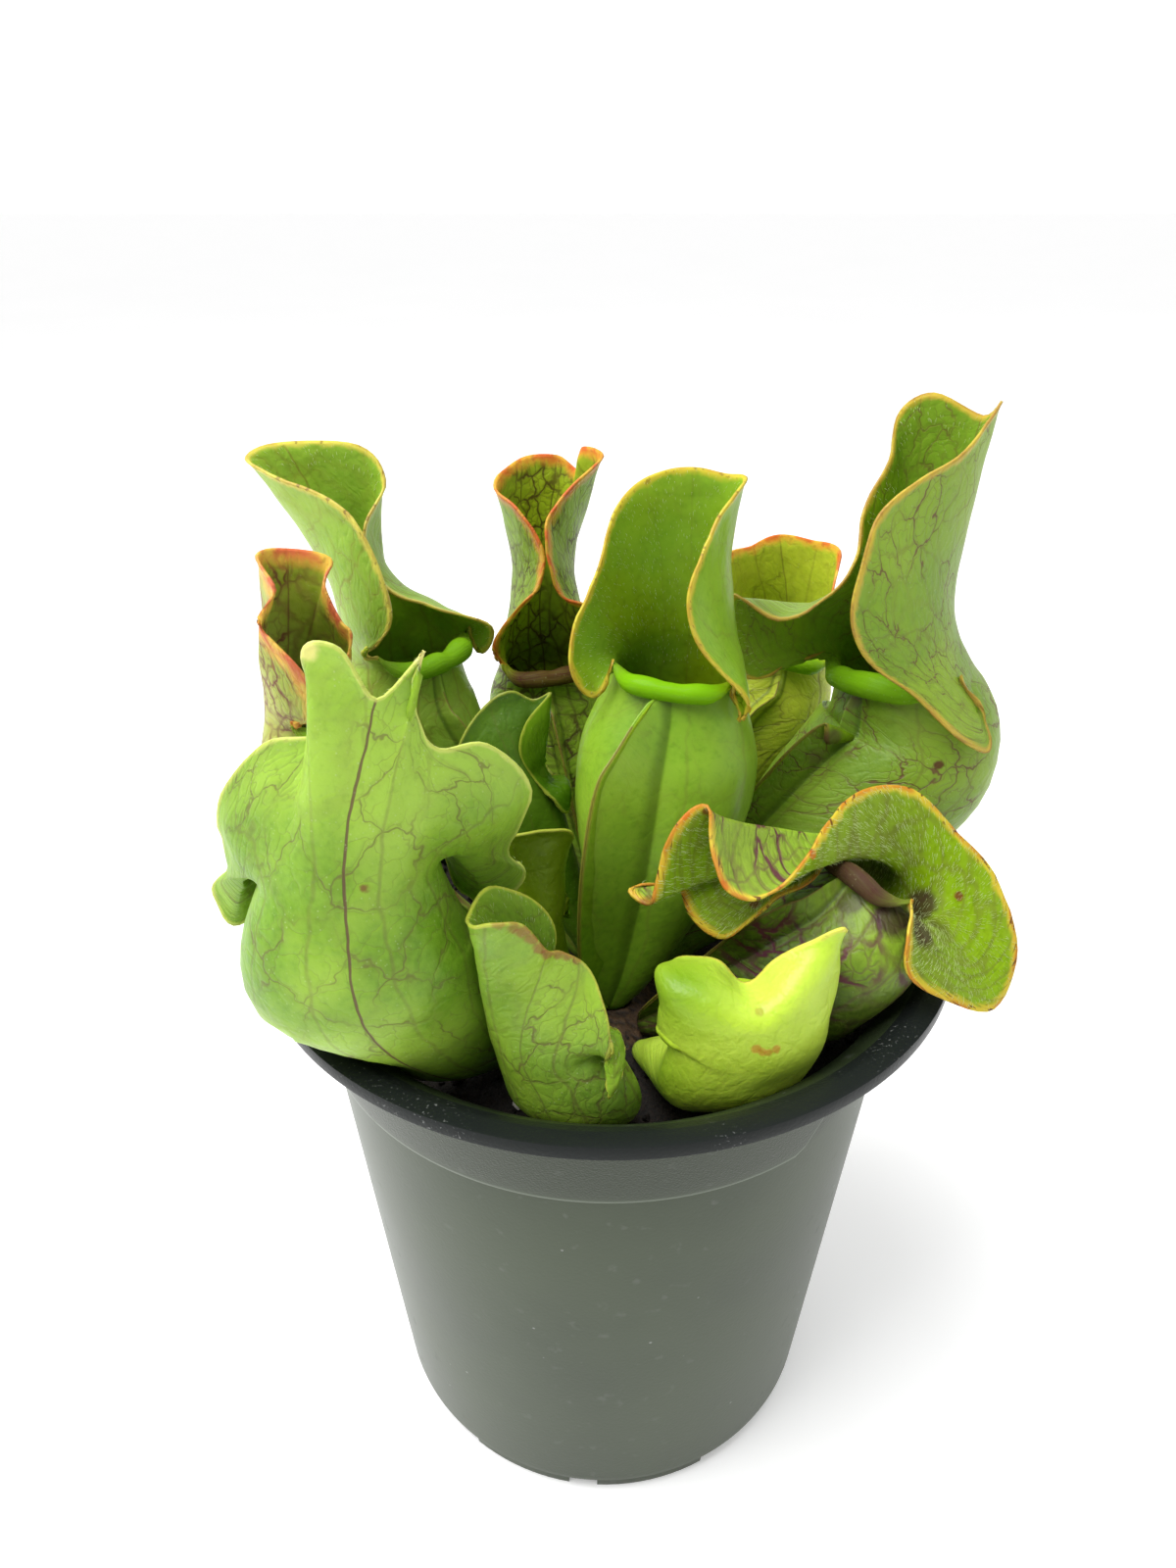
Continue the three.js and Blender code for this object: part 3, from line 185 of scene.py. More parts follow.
# facing: the bearing of the wing side. wing: its width. lip: its height.
# crest: the point of the hood's edge that stands over the back. path: the middle of the tube, foot to mouth.
# girth, along the path: half width, depth of the back, depth of the front.
# rim: the hood's edge, as x, y, z, then how far the hood swells outwards and upwards below that point.
leaves = {
    "front_left": dict(facing=98, wing=5, lip=3, crest=11,
        path=[(-5, -24, 130), (-17, -34, 138), (-37, -47, 151), (-48, -52, 170), (-49, -52, 191)],
        girth=[(3, 3, 3), (7, 6, 6), (16, 13, 12), (23, 17, 17), (17, 14, 14)],
        rim=[(-33, -38, 186, 1), (-30, -39, 178, 2), (-24, -41, 176, 2), (-17, -42, 184, 3),
            (-20, -44, 191, 3), (-15, -48, 207, 3), (-22, -52, 218, 2), (-30, -56, 219, 2),
            (-33, -57, 224, 1), (-33, -58, 232, 1), (-31, -56, 237, 1), (-39, -60, 230), (-44, -60, 239, 1),
            (-50, -59, 239, 1), (-50, -58, 231, 1), (-50, -58, 223, 1), (-60, -56, 220, 2),
            (-71, -52, 206, 3), (-73, -48, 190, 3), (-78, -45, 183, 2), (-75, -46, 175, 2),
            (-69, -42, 178, 1), (-66, -40, 186, 1)]),
    "centre_tall": dict(facing=255, wing=11, wingLean=-1, wingRise=0.5, lip=2.5, crest=7,
        path=[(1, -17, 130), (6, -13, 146), (11, -5, 167), (14, 3, 187), (16, 6, 206)],
        girth=[(3, 3, 3), (10, 8, 8), (18, 15, 15), (21, 18, 17), (15, 13, 12)],
        rim=[(-3, -3, 205, 2), (-8, -4, 212, 3), (-7, -1, 221, 3), (-2, 5, 232, 2), (1, 10, 242, 1),
            (5, 13, 247), (11, 15, 250), (18, 15, 251), (25, 13, 250, 1), (29, 9, 250, 2), (23, 1, 245, 8),
            (18, -5, 236, 10), (16, -8, 228, 10), (19, -9, 219, 9), (27, -9, 210, 6), (30, -8, 205, 4),
            (28, -6, 201, 3)]),
    "back_right": dict(facing=210, span=(140, 105), wing=10, wingRise=0.5, lip=3, crest=11,
        path=[(9, -4, 130), (31, 9, 145), (57, 17, 163), (74, 20, 182), (73, 22, 201)],
        girth=[(3, 3, 3), (11, 9, 9), (22, 18, 18), (24, 20, 20), (18, 16, 15)],
        rim=[(43, 20, 203, 1), (33, 13, 203, 1), (28, 14, 211, 1), (28, 16, 222, 2, 6), (39, 13, 217, 3, 10),
            (51, 14, 223, 3, 8), (57, 19, 231, 3, 4), (59, 26, 239, 2), (65, 32, 249, 1), (67, 36, 259),
            (74, 36, 263), (84, 30, 259), (85, 24, 263, 2), (75, 12, 255, 8), (64, 4, 251, 12),
            (55, -1, 245, 14), (52, -4, 235, 15), (51, -5, 224, 15), (56, -4, 214, 12), (67, -4, 206, 8),
            (77, -6, 197, 5), (86, -4, 192, 3), (85, 1, 199, 2)]),
    "back_left": dict(facing=318, wing=6, lip=3, crest=7,
        path=[(-4, 3, 130), (-22, 17, 149), (-40, 25, 168), (-50, 28, 186), (-51, 29, 203)],
        girth=[(3, 3, 3), (8, 7, 7), (16, 14, 14), (19, 16, 16), (15, 13, 13)],
        rim=[(-56, 10, 210, 3), (-49, 8, 217, 6), (-49, 9, 226, 8), (-54, 12, 238, 8), (-61, 16, 244, 6),
            (-75, 22, 248, 3), (-81, 28, 251, 2), (-75, 36, 252), (-58, 38, 251), (-52, 34, 244),
            (-56, 26, 236, 3, 2), (-56, 24, 228, 4, 4), (-51, 24, 220, 4, 6), (-40, 26, 215, 3, 6),
            (-28, 30, 209, 2, 3), (-31, 33, 201, 1)]),
    "left_red": dict(facing=320, wing=4, lip=2.5, crest=6,
        path=[(-7, -9, 130), (-36, -11, 150), (-56, -10, 168), (-65, -7, 184), (-66, -5, 200)],
        girth=[(2.5, 2.5, 2.5), (6, 5, 5), (11, 9, 9), (13, 11, 11), (10, 9, 9)],
        rim=[(-60, -18, 207, 3), (-61, -18, 214, 4), (-64, -17, 219, 5), (-71, -13, 226, 4),
            (-67, -13, 233, 4), (-72, -6, 238, 2), (-68, 2, 237), (-59, 2, 235, 1), (-60, -2, 230, 3),
            (-57, -4, 223, 3), (-55, -5, 220, 3), (-57, -6, 211, 2)]),
    "back_centre": dict(facing=275, wing=5, lip=2.5, crest=7,
        path=[(2, 10, 130), (-7, 28, 148), (-12, 40, 166), (-15, 46, 182), (-16, 46, 194)],
        girth=[(3, 3, 3), (7, 6, 6), (14, 12, 12), (16, 13, 13), (12, 11, 11)],
        rim=[(-28, 36, 203, 1), (-21, 32, 214, 4), (-16, 31, 219, 6), (-15, 32, 228, 7), (-21, 35, 237, 5),
            (-27, 42, 241, 2), (-21, 52, 245), (-12, 56, 245), (-7, 53, 242), (-6, 50, 248), (-1, 46, 247, 2),
            (-8, 38, 242, 6), (-14, 33, 235, 8), (-14, 31, 226, 8), (-11, 31, 217, 6), (-4, 33, 213, 4),
            (-2, 40, 200, 1)]),
    "far_back": dict(facing=262, wing=5, lip=2.5, crest=4,
        path=[(8, 13, 130), (25, 36, 150), (38, 50, 168), (46, 56, 180), (49, 57, 193)],
        girth=[(3, 3, 3), (8, 7, 7), (15, 12, 12), (17, 13, 13), (13, 11, 11)],
        rim=[(32, 46, 202, 1), (30, 46, 213, 2), (32, 54, 220, 1), (39, 62, 220), (47, 66, 222),
            (56, 64, 221), (62, 58, 220, 1), (59, 50, 211, 2), (60, 47, 203, 1)]),
    "right_front": dict(facing=205, span=(150, 125), wing=7, wingRise=0.5, lip=2.4, crest=16,
        path=[(9, -24, 130), (24, -29, 141), (38, -31, 149), (51, -30, 158), (59, -26, 168)],
        girth=[(3, 3, 3), (9, 8, 8), (17, 14, 14), (18, 15, 15), (14, 12, 12)],
        rim=[(43, -31, 176, 1), (34, -35, 173, 1), (24, -40, 167, 1), (17, -38, 171, 1), (14, -34, 176, 2),
            (4, -38, 178, 2), (8, -42, 177, 2, 2), (10, -40, 184, 2, 2), (13, -38, 193, 2),
            (19, -36, 196, 2, 2), (20, -42, 188, 2, 6), (23, -46, 183, 2, 9), (29, -46, 181, 2, 10),
            (37, -41, 184, 2, 8), (45, -30, 189, 1, 4), (54, -20, 191), (66, -16, 189), (77, -18, 179),
            (85, -22, 171), (89, -32, 158), (82, -42, 150, 1), (68, -48, 158, 1), (60, -49, 165, 1),
            (60, -46, 172, 1)]),
    "front_small": dict(facing=70, wing=3, lip=1.5, crest=6,
        path=[(-2, -32, 130), (-4, -45, 134), (-5.5, -54, 139), (-8, -58, 145), (-12, -58, 153)],
        girth=[(2.5, 2.5, 2.5), (6, 5, 4.5), (12.5, 8, 7), (14, 10, 9), (12, 9, 9)],
        rim=[(-2, -60, 156, 1), (-3, -67, 151, 3), (-1, -67, 158, 3), (-1, -65, 166, 3), (-4, -62, 176, 1),
            (-9, -63, 181, 1), (-12, -65, 183), (-16, -67, 190), (-21, -68, 191, 1), (-25, -66, 189, 2),
            (-26, -59, 187, 2), (-23, -52, 188, 2), (-15, -48, 182, 1), (-11, -47, 174, 1), (-13, -47, 164)]),
    "front_right_young": dict(facing=95, span=(125, 150), wing=1, lip=1.2, crest=5,
        path=[(8, -33, 130), (13, -44, 137), (20, -53, 143), (26, -54, 151), (27, -54, 160)],
        girth=[(2.5, 2.5, 2.5), (6, 5, 5), (12, 9, 6), (17, 10, 6), (17.5, 9, 6)],
        rim=[(42, -46, 162, 2), (45, -47, 170, 3, 1), (45, -51, 178, 1), (40, -51, 175, 4, 4),
            (34, -50, 170, 6, 6), (27, -50, 163, 4, 2), (22, -48, 167, 7, 7), (17, -47, 167, 9, 8),
            (13, -47, 166, 7, 6), (11, -47, 161, 4, 2)]),
    "middle": dict(facing=100, wing=3, lip=1.6, crest=8,
        path=[(0, -6, 130), (-8, -2, 147), (-13, 0, 158), (-17, 1, 168), (-20, 2, 178)],
        girth=[(2.5, 2.5, 2.5), (4.5, 4.5, 4.5), (6.5, 6.5, 6.5), (8, 7.5, 7.5), (8, 7, 7)],
        rim=[(-11, -2, 175, 1), (-15, -3, 182, 2), (-18, -2, 186, 2), (-20, -2, 192, 2), (-18, 0, 198, 2),
            (-13, 4, 203, 2), (-17, 5, 201, 1), (-22, 5, 203, 2), (-27, 3, 201, 3), (-32, -1, 196, 2),
            (-34, -3, 190, 2), (-30, -2, 184, 1)]),
    "middle_young": dict(facing=60, wing=2, lip=1.5, crest=4,
        path=[(-6, -17, 130), (-10, -20, 140), (-14, -22, 150), (-15, -23, 158)],
        girth=[(2, 2, 2), (3.5, 3, 3), (5, 4.5, 4.5), (5, 4.5, 4.5)],
        rim=[(-10, -19, 167, 1), (-9, -20, 175, 1), (-8, -22, 182), (-14, -25, 184), (-21, -27, 184),
            (-23, -24, 181), (-21, -20, 175, 1), (-18, -18, 168)]),
}


def clamp(value):
    return min(max(value, 0), 1)


def smoothRise(value, low, high):
    x = clamp((value - low) / (high - low))
    return x * x * (3 - 2 * x)


def curveThrough(points):  # a smooth curve through the points, read from 0 to 1
    row = [Vector(p) for p in points]
    row = [2 * row[0] - row[1]] + row + [2 * row[-1] - row[-2]]
    last = len(points) - 1

    def at(share):
        step = min(int(clamp(share) * last), last - 1)
        x = clamp(share) * last - step
        a, b, c, d = row[step:step + 4]
        cubic = (2 * a - 5 * b + 4 * c - d) * x * x + (3 * (b - c) + d - a) * x * x * x
        return b + 0.5 * ((c - a) * x + cubic)
    return at


def insidePot(point):  # a leaf that leans on the pot is flattened by it
    mouth = potMouth
    room = mouth["base"] + mouth["taper"] * min(point.z, mouth["height"] - mouth["depth"]) - mouth["gap"]
    room += mouth["slope"] * max(0, point.z - mouth["height"] + mouth["start"])
    room += mouth["free"] * max(0, point.z - mouth["height"])
    scale = min(1, room / max(point.xy.length, 1e-6))
    return Vector((point.x * scale, point.y * scale, point.z))


def bezier(a, b, c, d, t):
    u = 1 - t
    return a * (u * u * u) + b * (3 * u * u * t) + c * (3 * u * t * t) + d * (t * t * t)


def keelHeight(angle, perimeter):  # 1 at the wing's edge, 0 away from it
    reach = (180 - abs(angle)) / 360 * perimeter / leafShape["wingHalfWidth"]
    return math.exp(-reach * reach)


def leafSurface(leaf):  # the columns' angles, and the leaf's points row by row from its foot to its edge
    shape = leafShape
    flank = shape["wingFlank"]
    path = curveThrough(leaf["path"])
    girth = curveThrough(leaf["girth"])
    bearing = math.radians(leaf["facing"])
    across = Vector((-math.sin(bearing), math.cos(bearing), 0))

    def frameAt(s):
        along = (path(s + 1e-4) - path(s - 1e-4)).normalized()
        side = (across - across.dot(along) * along).normalized()
        return path(s), along, side, side.cross(along), girth(s)

    def tubePoint(place, angle, wing=0):
        centre, along, side, front, (half, back, chest) = place
        a = math.radians(angle)
        depth = back if math.cos(a) > 0 else chest
        sideways = half * math.sin(a) + leaf["wingLean"] * wing
        return insidePot(centre + side * sideways - front * (depth * math.cos(a) - wing))

    top = frameAt(1)
    below = frameAt(0.97)

    def outwardAt(angle):
        a = math.radians(angle)
        return top[2] * math.sin(a) - top[3] * math.cos(a)

    def edgeEnd(angle):  # where the hood's edge meets the lip
        point = tubePoint(top, angle) + top[1] * (leaf["lip"] * 1.6) + outwardAt(angle) * leaf["lip"]
        return (*point, 0.3, 0.3)

    left, right = leaf["span"]
    edgePoints = [edgeEnd(-left), *((*point, 0, 0)[:5] for point in leaf["rim"]), edgeEnd(right)]
    rim = curveThrough(edgePoints)
    last = len(edgePoints) - 1
    crest = leaf["crest"] + 1

    # columns: fine over the wing's keel, even round the lip, and some to each point of the hood's edge
    keel = [180, 179.5, 179, 178.4, 177.8, 177.1, 176.3, 175.3, 174, 172.5]
    columns = [-a for a in keel]
    lipSteps = shape["lipColumns"]
    columns += [flank - 180 + (180 - flank - left) * i / lipSteps for i in range(lipSteps)]
    fine = shape["columnsPerRimPoint"]
    for i in range(last * fine + 1):
        place = i / fine
        columns.append((left if place < crest else right) * (place - crest) /
                       (crest if place < crest else last - crest))
    columns += [right + (180 - flank - right) * (i + 1) / lipSteps for i in range(lipSteps)]
    columns += keel[::-1]

    perimeter = math.pi * (top[4].x + (top[4].y + top[4].z) / 2)
    spine = [frameAt(0.4 + 0.05 * i) for i in range(13)]

    def besideTube(point, gap):
        nearest = min(spine, key=lambda place: (place[0] - point).length_squared)
        centre, along, side, front, (half, back, chest) = nearest
        offset = point - centre
        if nearest is spine[-1] and offset.dot(along) > 0:
            return point
        x = offset.dot(side)
        y = offset.dot(front)
        share = math.hypot(x / (half + gap), y / ((back if y < 0 else chest) + gap))
        if share < 1:
            point = point + (side * x + front * y) * (1 / max(share, 1e-3) - 1)
        return point

    rows = []
    for row in range(shape["tubeRows"]):
        s = row / (shape["tubeRows"] - 1)
        place = frameAt(s)
        wide = leaf["wing"] * max(0, math.sin(math.pi * s)) ** leaf["wingRise"]
        rows.append([tubePoint(place, angle, wide * keelHeight(angle, perimeter)) for angle in columns])

    hoodCurves = []
    for angle in columns:
        span = left if angle < 0 else right
        outward = outwardAt(angle)
        root = tubePoint(top, angle)
        climb = (root - tubePoint(below, angle)).normalized()
        turn = min(1, abs(angle) / span)
        place = (crest + (-crest if angle < 0 else last - crest) * turn) / last
        edge = rim(place)
        around = min(1.5 / last, place, 1 - place)
        calm = ((rim(place - around) + rim(place + around)) / 2).lerp(edge, shape["edgeKept"])
        calm = Vector(calm[:3])
        low = root + climb * ((calm - root).length * shape["hoodRise"])
        high = root.lerp(calm, shape["hoodMiddle"]) + outward * edge[3] + Vector((0, 0, edge[4]))
        rolled = smoothRise(abs(angle), span, (span + 180 - flank) / 2)
        hoodCurves.append((root, low, high, Vector(edge[:3]), rolled, outward))
    radius = leaf["lip"] * shape["lipRadius"]
    waves = [1 + shape["lipWave"] * noise.noise(curve[0] / shape["lipWaveSize"]) for curve in hoodCurves]
    for row in range(shape["hoodRows"]):
        x = (row + 1) / shape["hoodRows"]
        t = x - 0.5 * math.sin(2 * math.pi * x) / (2 * math.pi)
        turn = math.radians(shape["lipTurn"]) * t
        points = []
        for (root, low, high, edge, rolled, outward), wave in zip(hoodCurves, waves):
            hood = bezier(root, low, high, edge, t)
            roll = outward * (1 - math.cos(turn)) + top[1] * (math.sin(turn) + 2 * (wave - 1))
            roll = root + roll * (radius * wave)
            point = hood.lerp(roll, rolled)
            points.append(besideTube(point, shape["hangClear"] * min(1, 2 * t) * (1 - rolled)))
        rows.append(points)
    return columns, rows, [curve[4] for curve in hoodCurves], perimeter


def runningLengths(points, start):  # how far along the row every point lies, counted from one of them
    lengths = [0.0] * len(points)
    for i in range(start + 1, len(points)):
        lengths[i] = lengths[i - 1] + (points[i] - points[i - 1]).length
    for i in range(start - 1, -1, -1):
        lengths[i] = lengths[i + 1] - (points[i] - points[i + 1]).length
    return lengths


def evenOut(bm, verts, times):
    for _ in range(times):
        bmesh.ops.smooth_vert(bm, verts=verts, factor=0.5, use_axis_x=True, use_axis_y=True, use_axis_z=True)


def buildLeaf(name, leaf, materials):  # returns its points above the mouth, with what the hairs need
    shape = leafShape
    uvScale = shape["uvScale"]
    columns, rows, rolled, perimeter = leafSurface(leaf)
    middle = min(range(len(columns)), key=lambda j: abs(columns[j]))
    mouth = shape["tubeRows"] - 1
    lengths = list(zip(*(runningLengths(column, mouth) for column in zip(*rows))))
    across = [runningLengths(row, middle) for row in rows]
    swellWide, swellSmall = shape["swellSizes"]
    bm = bmesh.new()
    fan = bm.loops.layers.uv.new("fan")
    flat = bm.loops.layers.uv.new("flat")
    toEdge, spread, lip, keel, hood = (bm.verts.layers.float.new(key) for key in
                                       ("toEdge", "spread", "lip", "keel", "hood"))
    lastColumn = len(columns) - 1
    lastRow = len(rows) - 1
    bmesh.ops.create_grid(bm, x_segments=lastColumn, y_segments=lastRow, size=1)
    spots = {}
    for vert in bm.verts:
        j = lastColumn - round((vert.co.x + 1) / 2 * lastColumn)
        i = round((vert.co.y + 1) / 2 * lastRow)
        spots[vert] = (i, j)
        vert.co = (rows[i][j] + potAxis) * mm
        low = max(j - 1, 0)
        high = min(j + 1, lastColumn)
        fanWidth = (columns[high] - columns[low]) / 360 * perimeter
        vert[spread] = (across[i][high] - across[i][low]) / max(fanWidth, 1e-6)
        vert[lip] = rolled[j] * clamp((i - mouth) / 4)
        vert[toEdge] = lengths[lastRow][j] - lengths[i][j] + 40 * smoothRise(rolled[j], 0, 0.5)
        vert[hood] = clamp((i - mouth) / (lastRow - mouth))
        vert[keel] = keelHeight(columns[j], perimeter) * clamp((mouth - i) / 3)
    for face in bm.faces:
        for loop in face.loops:
            i, j = spots[loop.vert]
            loop[fan].uv = (columns[j] / 360 * perimeter / uvScale, lengths[i][j] / uvScale)
            loop[flat].uv = (across[i][j] / uvScale, lengths[i][j] / uvScale)
    seam = [vert for vert, (i, j) in spots.items() if j in (0, lastColumn)]
    bmesh.ops.remove_doubles(bm, verts=seam, dist=0.01 * mm)
    footEdges = [e for e in bm.edges if e.is_boundary and all(spots[v][0] == 0 for v in e.verts)]
    bmesh.ops.contextual_create(bm, geom=footEdges)

    # evened out, then given the small swellings of a grown leaf and a margin that turns outwards
    evenOut(bm, [v for v in bm.verts if v[hood] > 0 and not v.is_boundary], shape["hoodEvening"])
    bm.normal_update()
    for vert in bm.verts:
        place = vert.co / mm
        swell = noise.noise(place / swellWide) + 0.5 * noise.noise(place / swellSmall)
        free = 1 - vert[keel]
        gap = vert[toEdge]
        flare = shape["flare"] * clamp(1 - gap / shape["flareWidth"]) ** 2
        ruffle = shape["ruffle"] * noise.noise(place / shape["ruffleSize"] + Vector((7, 0, 0)))
        ruffle *= clamp(1 - gap / shape["ruffleWidth"])
        place += vert.normal * (shape["wobble"] * swell * free + flare + ruffle)
        if vert[hood] == 0:
            place = insidePot(place - potAxis) + potAxis
        vert.co = place * mm
    leaning = []
    low, high = shape["leanHeights"]
    for vert in bm.verts:
        x, y, z = vert.co / mm - potAxis
        onRim = low < z < high and math.hypot(x, y) > shape["leanRadius"]
        if onRim and vert[hood] == 0 and vert[keel] < 0.01:
            leaning.append(vert)
    evenOut(bm, leaning, shape["leanEvening"])
    points = [[None] * len(columns) for _ in rows]
    bm.normal_update()
    for vert, (i, j) in spots.items():
        if i >= mouth and vert.is_valid:
            points[i][j] = (vert.co.copy(), vert.normal.copy(), vert[toEdge], vert[lip])
    piece = addPiece(newMesh(name + "_leaf", bm, materials))
    wall = piece.modifiers.new("wall", "SOLIDIFY")
    wall.thickness = shape["wallThickness"] * mm
    wall.offset = -1
    wall.material_offset = 1
    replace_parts(piece, name)
    return points[mouth:]


# the leaves: their skin. Colours are screen colours, and widths are in mm.
# deep: a darker green, for mottling and for the painted shade down the tube and in the wing's crease. light:
# a paler green, for tone, mottling and the hood's painted light
defaultLook = dict(
    green=(118, 160, 34), light=(150, 186, 52), deep=(72, 116, 14), inside=(118, 152, 8),
    vein=(104, 50, 48), midrib=0.6, midribWidth=0.24, veinGap=11, veins=0.3,
    insideVeins=0.6, net=0.3, netCell=10, netWidth=0.22, shade=0.1, gold=(198, 194, 78),
    goldWidth=0.7, goldness=0.8, red=(150, 92, 44), redWidth=0.4, redness=0.35,
    speck=(88, 44, 30), spots=0.2, lip=(112, 164, 20), keel=(120, 88, 44), roughness=0.42,
    hair=(214, 226, 170), stubble=0.12, hoodPaintedLight=0.2, bump=1.0, dark=(-12, -75),
    tubeShade=0.55, marks=(),
)


def leafMaterial(name, look, inside):
    look = {**defaultLook, **look}
    material, shader, solid = newMaterial(
        name, Roughness=look["roughness"], Subsurface_Weight=0.22, Subsurface_Scale=0.001,
        Subsurface_Radius=(0.7, 1.0, 0.2), Specular_IOR_Level=0.06 if inside else 0.3)
    fan = solid.add("UVMap", {"uv_map": "fan"})
    flat = solid.add("UVMap", {"uv_map": "flat"})
    x = solid.add("SeparateXYZ", {}, {0: fan}) * leafShape["uvScale"]
    y = solid.add("SeparateXYZ", {}, {0: fan}, 1) * leafShape["uvScale"]
    toEdge, spread, lip, keel = (solid.add("Attribute", {"attribute_name": key}, {}, "Fac")
                                 for key in ("toEdge", "spread", "lip", "keel"))

    def skinGrain(size, detail=2):
        return grain(flat, size, detail, True)

    # veins: the midrib, the ribs that fan out from it with more between them where the hood widens, and a net
    sway = skinGrain(0.24) - 0.5
    quiver = skinGrain(0.05, 1) - 0.5
    swayed = x + sway * 5 + quiver * 0.8
    thickness = look["midribWidth"] * (0.75 + 0.5 * skinGrain(0.1, 1))
    midrib = (abs(x + sway * 0.5 + quiver * 0.4) * spread / thickness).rise(1.3, 0.6) * look["midrib"]
    gap = look["veinGap"]

    def ribs(shift, step, width, strength):
        across = abs((swayed + shift) / step % 1 - 0.5) * step * spread
        return across.rise(width * 1.9, width * 0.2) * strength

    patchy = skinGrain(0.16).rise(0.34, 0.6)
    main = ribs(0, gap, 0.34, look["veins"]) * (0.6 + 0.4 * patchy)
    between = ribs(gap / 2, gap, 0.28, look["veins"] * 0.8) * spread.rise(1.3, 2.2) * (0.5 + 0.5 * patchy)
    fine = ribs(gap / 4, gap / 2, 0.22, look["veins"] * 0.7) * spread.rise(2.4, 4)
    warp = flat.add("TexNoise", {"noise_dimensions": "2D"}, {"Vector": flat, "Scale": 22, "Detail": 2}, 1)
    warp = warp.add("VectorMath", {"operation": "SUBTRACT"}, {0: warp, 1: (0.5, 0.5, 0.5)})
    warp = warp.add("VectorMath", {"operation": "SCALE"}, {0: warp, "Scale": 0.05})
    warped = warp.add("VectorMath", {"operation": "ADD"}, {0: flat, 1: warp})

    def net(cell, width, strength):
        cells = warped.add("TexVoronoi", {"voronoi_dimensions": "2D", "feature": "DISTANCE_TO_EDGE"},
                           {"Vector": warped, "Scale": leafShape["uvScale"] / cell}) * cell
        return cells.rise(width * 1.5, width * 0.2) * strength, cells

    coarse, cellDepth = net(look["netCell"], look["netWidth"], look["net"])
    small, smallDepth = net(look["netCell"] * 0.42, look["netWidth"] * 0.6, look["net"] * 0.45)
    netted = coarse.math("MAXIMUM", coarse * patchy, small * patchy)
    veins = midrib
    for more in (main, between, fine, netted):
        veins = veins.math("MAXIMUM", veins, more)
    if inside:
        veins = veins * look["insideVeins"]

    # colour: greens, painted shade down the tube towards its foot, painted light on the hood, a shade beside
    # the veins, the veins, the margin, the lip, painted shade in the wing's crease, the keel, stubble and
    # marks, a few of them painted shade
    mottle = grain(solid, 0.0016, 3)
    jagged = 0.35 + 1.3 * skinGrain(0.035)
    gold = (toEdge / jagged).rise(look["goldWidth"] * 1.4, look["goldWidth"] * 0.4)
    red = (toEdge / jagged).rise(look["redWidth"] * 1.5, look["redWidth"] * 0.3)
    hairs = solid.add("TexVoronoi", {"feature": "F1"}, {"Vector": solid, "Scale": 850})
    stubble = hairs.rise(0.22, 0.08) * look["stubble"] * grain(solid, 0.006).rise(0.35, 0.65)
    coats = [
        (grain(solid, 0.03).rise(0.35, 0.65), look["green"] if inside else look["light"]),
        # painted shade: darker down the tube towards its foot
        (y.rise(*look["dark"]) * look["tubeShade"], look["deep"]),
        # painted light: the hood lighter, as lit from above
        (y.rise(5, 30) * look["hoodPaintedLight"], look["light"]),
        (mottle.rise(0.3, 0.75) * 0.22, look["light"]),
        (mottle.rise(0.5, 0.2) * 0.2, look["deep"]),
        (cellDepth.rise(look["netCell"] * 0.22, 0) * look["shade"], look["vein"]),
        (veins, look["vein"]),
        (gold * look["goldness"], look["gold"]),
        (red * (skinGrain(0.06).rise(0.35, 0.6) * look["redness"]), look["red"]),
        (skinGrain(0.018).rise(0.62, 0.7) * gold * look["spots"], look["speck"]),
        (lip * 0.85, look["lip"]),
        # painted shade: a dark line in the crease where the wing meets the tube
        (keel.rise(0.002, 0.03) * keel.rise(0.3, 0.05) * 0.5, [part * 0.55 for part in look["deep"]]),
        (keel.rise(0.9, 0.99) * 0.7, look["keel"]),
        (stubble, look["hair"]),
    ]
    for tone, strength, *spots in look["marks"]:
        for *place, radius in spots:
            centre = tuple((potAxis + Vector(place)) * mm)
            away = solid.add("VectorMath", {"operation": "DISTANCE"}, {0: solid, 1: centre}, 1)
            ragged = (grain(solid, 0.0018, 3) - 0.5) * min(1.3, 2 / radius)
            blot = (away / mm / radius + ragged).rise(1.15, 0.55 if radius < 5 else 0)
            coats.append((blot * strength, tone))
    colour = layered(look["inside"] if inside else look["green"], *coats)
    roughness = look["roughness"] + 0.16 * (mottle - 0.5) - 0.2 * lip + 0.1 * veins
    height = grain(solid, 0.012, 3) * 0.3 + grain(solid, 0.0007) * 0.07 + stubble * 0.2 - veins * 0.1
    height = height + smallDepth.rise(0, 1.2) * 0.05
    finishSkin(shader, colour, roughness, height, 0.0009 if inside else 0.0012, look["bump"])
    return material
